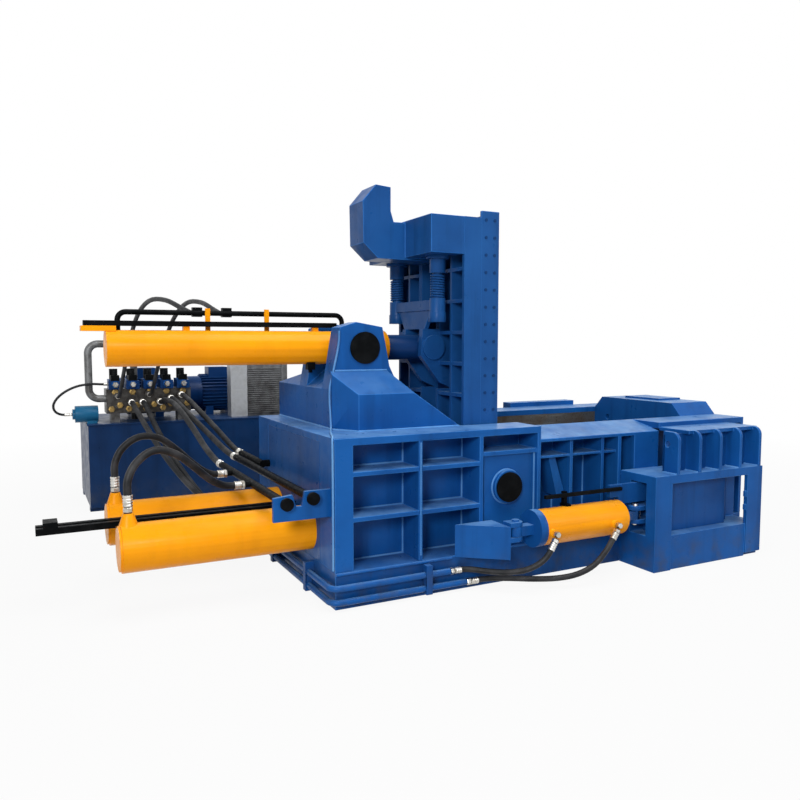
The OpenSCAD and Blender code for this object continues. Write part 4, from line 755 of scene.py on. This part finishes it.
# Power unit
# A welded oil tank with a bolted lid. The valve manifold, the solenoid valves, the finned cooler and
# the return filter stand on it.
grey_casting = patchy_metal("cast_grey", (0.17, 0.175, 0.18), (0.06, 0.058, 0.055),
                            patches=(12.0, 5.0), fade=(0.4, 0.7), rough=(0.55, 0.35), metallic=0.6)
aluminium = patchy_metal("raw_aluminium", (0.50, 0.52, 0.54), (0.33, 0.34, 0.35),
                         patches=(9.0, 4.0), fade=(0.4, 0.7), rough=(0.42, 0.6), metallic=0.7)
oily_block = patchy_metal("oily_block", (0.06, 0.058, 0.055), (0.016, 0.014, 0.012),
                          patches=(18.0, 5.0), fade=(0.4, 0.68), rough=(0.55, 0.3), metallic=0.4)
brass = patchy_metal("dull_brass", (0.42, 0.29, 0.10), (0.14, 0.10, 0.05),
                     patches=(30.0, 4.0), fade=(0.35, 0.7), rough=(0.3, 0.55), metallic=1.0)
tank_enamel = enamel("tank_enamel", (0.006, 0.032, 0.11), (0.004, 0.02, 0.07), (0.035, 0.07, 0.16))
teal_enamel = enamel("teal_enamel", (0.012, 0.12, 0.25), (0.008, 0.075, 0.17), (0.08, 0.2, 0.3))
dressed("oil_tank", tank_enamel, BEVEL)
BLOCK_LEFT, BLOCK_UNDERSIDE, BLOCK_TOP = -2.171, 0.92, 1.153
COIL_BASE, HEADER_END, FIN_BEVEL = 1.243, -0.8, 0.001
toned("valve_manifold", FINE_BEVEL, grey_casting,
      (oily_block, lambda middle: middle.x > BLOCK_LEFT and BLOCK_UNDERSIDE < middle.z < BLOCK_TOP))
toned("solenoid_valves", FINE_BEVEL, deep_blue_enamel, (black_enamel, lambda middle: middle.z > COIL_BASE))
toned("oil_cooler", FIN_BEVEL, grey_casting, (aluminium, lambda middle: middle.x < HEADER_END))
dressed("return_filter", teal_enamel, BEVEL)

VALVE_COUNT, VALVE_PITCH, MANIFOLD_X0, MANIFOLD_Y0 = 5, 0.156, -2.17, 2.66
PLUG_Z, PLUG = 1.197, [(0, 0.03), (0.02, 0.03), (0.03, 0.022)]
COIL_TOP, CONNECTOR_LOW, CONNECTOR_HIGH = 1.232, 1.23, 1.285
CABLE_GLAND_Z, CABLE_GLAND = 1.284, [(0, 0.014), (0.041, 0.011)]
UNION_PLACES = ((-0.035, 0.965), (0.04, 1.0), (0.0, 1.125))
MANIFOLD_UNION = [(0, 0.03), (0.022, 0.03), (0.024, 0.02), (0.05, 0.02)]
unions = bmesh.new()
plugs = bmesh.new()
coils = bmesh.new()
connectors = bmesh.new()
for k in range(VALVE_COUNT):
    valve_x = MANIFOLD_X0 + (k + 0.5) * VALVE_PITCH
    front = Vector((valve_x, MANIFOLD_Y0 - 0.06, PLUG_Z))
    turned(plugs, front, front + FORWARD, PLUG, 6)
    boxed(coils, (valve_x - 0.06, MANIFOLD_Y0 - 0.05, BLOCK_TOP),
          (valve_x + 0.06, MANIFOLD_Y0 + 0.029, COIL_TOP))
    boxed(connectors, (valve_x - 0.038, MANIFOLD_Y0 - 0.045, CONNECTOR_LOW),
          (valve_x + 0.038, MANIFOLD_Y0 + 0.025, CONNECTOR_HIGH))
    gland = Vector((valve_x, MANIFOLD_Y0 - 0.02, CABLE_GLAND_Z))
    turned(connectors, gland, gland + UP, CABLE_GLAND, 12)
    for shift, height in UNION_PLACES:
        outlet = Vector((valve_x + shift, MANIFOLD_Y0, height))
        turned(unions, outlet, outlet + FORWARD, MANIFOLD_UNION, 6)
piece("manifold_unions", unions, brass, "press")
piece("valve_plugs", plugs, zinc, "press")
piece("valve_coils", coils, painted_shade_enamel, "press")
piece("valve_connectors", connectors, black_enamel, "press")

# Pump motors
# Two ribbed cast motors that lie along the tank behind the valves and drive the pumps inside it. Each is
# bolted down on two feet, has a fan cowl at one end and a terminal box on top, and is sprayed blue.
TANK_TOP, MOTOR_Y, MOTOR_Z = 0.832, 3.26, 1.057
MOTOR_PROFILE = [(0, 0.15), (0.012, 0.178), (0.13, 0.178), (0.132, 0.17), (0.52, 0.17), (0.53, 0.195),
                 (0.57, 0.195), (0.585, 0.15), (0.62, 0.12)]
RIB_COUNT, RIB_ROOT, RIB_TIP, RIB_HALF, RIB_ENDS = 32, 0.16, 0.2, 0.004, (0.14, 0.515)
FOOT_STARTS, FOOT_L, FOOT_HALF, FOOT_RISE = (0.17, 0.4), 0.08, 0.17, 0.14
BOX_START, BOX_END, BOX_HALF, BOX_LOW, BOX_HIGH = 0.22, 0.42, 0.09, 0.165, 0.275
build = bmesh.new()
for motor_x in (-2.06, -1.32):
    start = Vector((motor_x, MOTOR_Y, MOTOR_Z))
    turned(build, start, start + RIGHT, MOTOR_PROFILE, 40)
    for k in range(RIB_COUNT):
        angle = 2 * math.pi * k / RIB_COUNT
        out = Vector((0, math.cos(angle), math.sin(angle)))
        half = RIB_HALF * Vector((0, -math.sin(angle), math.cos(angle)))
        section = [RIB_ROOT * out - half, RIB_TIP * out - half, RIB_TIP * out + half, RIB_ROOT * out + half]
        lofted(build, [[start + along * RIGHT + corner for corner in section] for along in RIB_ENDS])
    for foot_start in FOOT_STARTS:
        foot_x = motor_x + foot_start
        boxed(build, (foot_x, MOTOR_Y - FOOT_HALF, TANK_TOP),
              (foot_x + FOOT_L, MOTOR_Y + FOOT_HALF, MOTOR_Z - FOOT_RISE))
    boxed(build, (motor_x + BOX_START, MOTOR_Y - BOX_HALF, MOTOR_Z + BOX_LOW),
          (motor_x + BOX_END, MOTOR_Y + BOX_HALF, MOTOR_Z + BOX_HIGH))
# The motors take the darker blue as painted shade under the lid cylinder.
piece("pump_motors", build, painted_shade_enamel, "press")
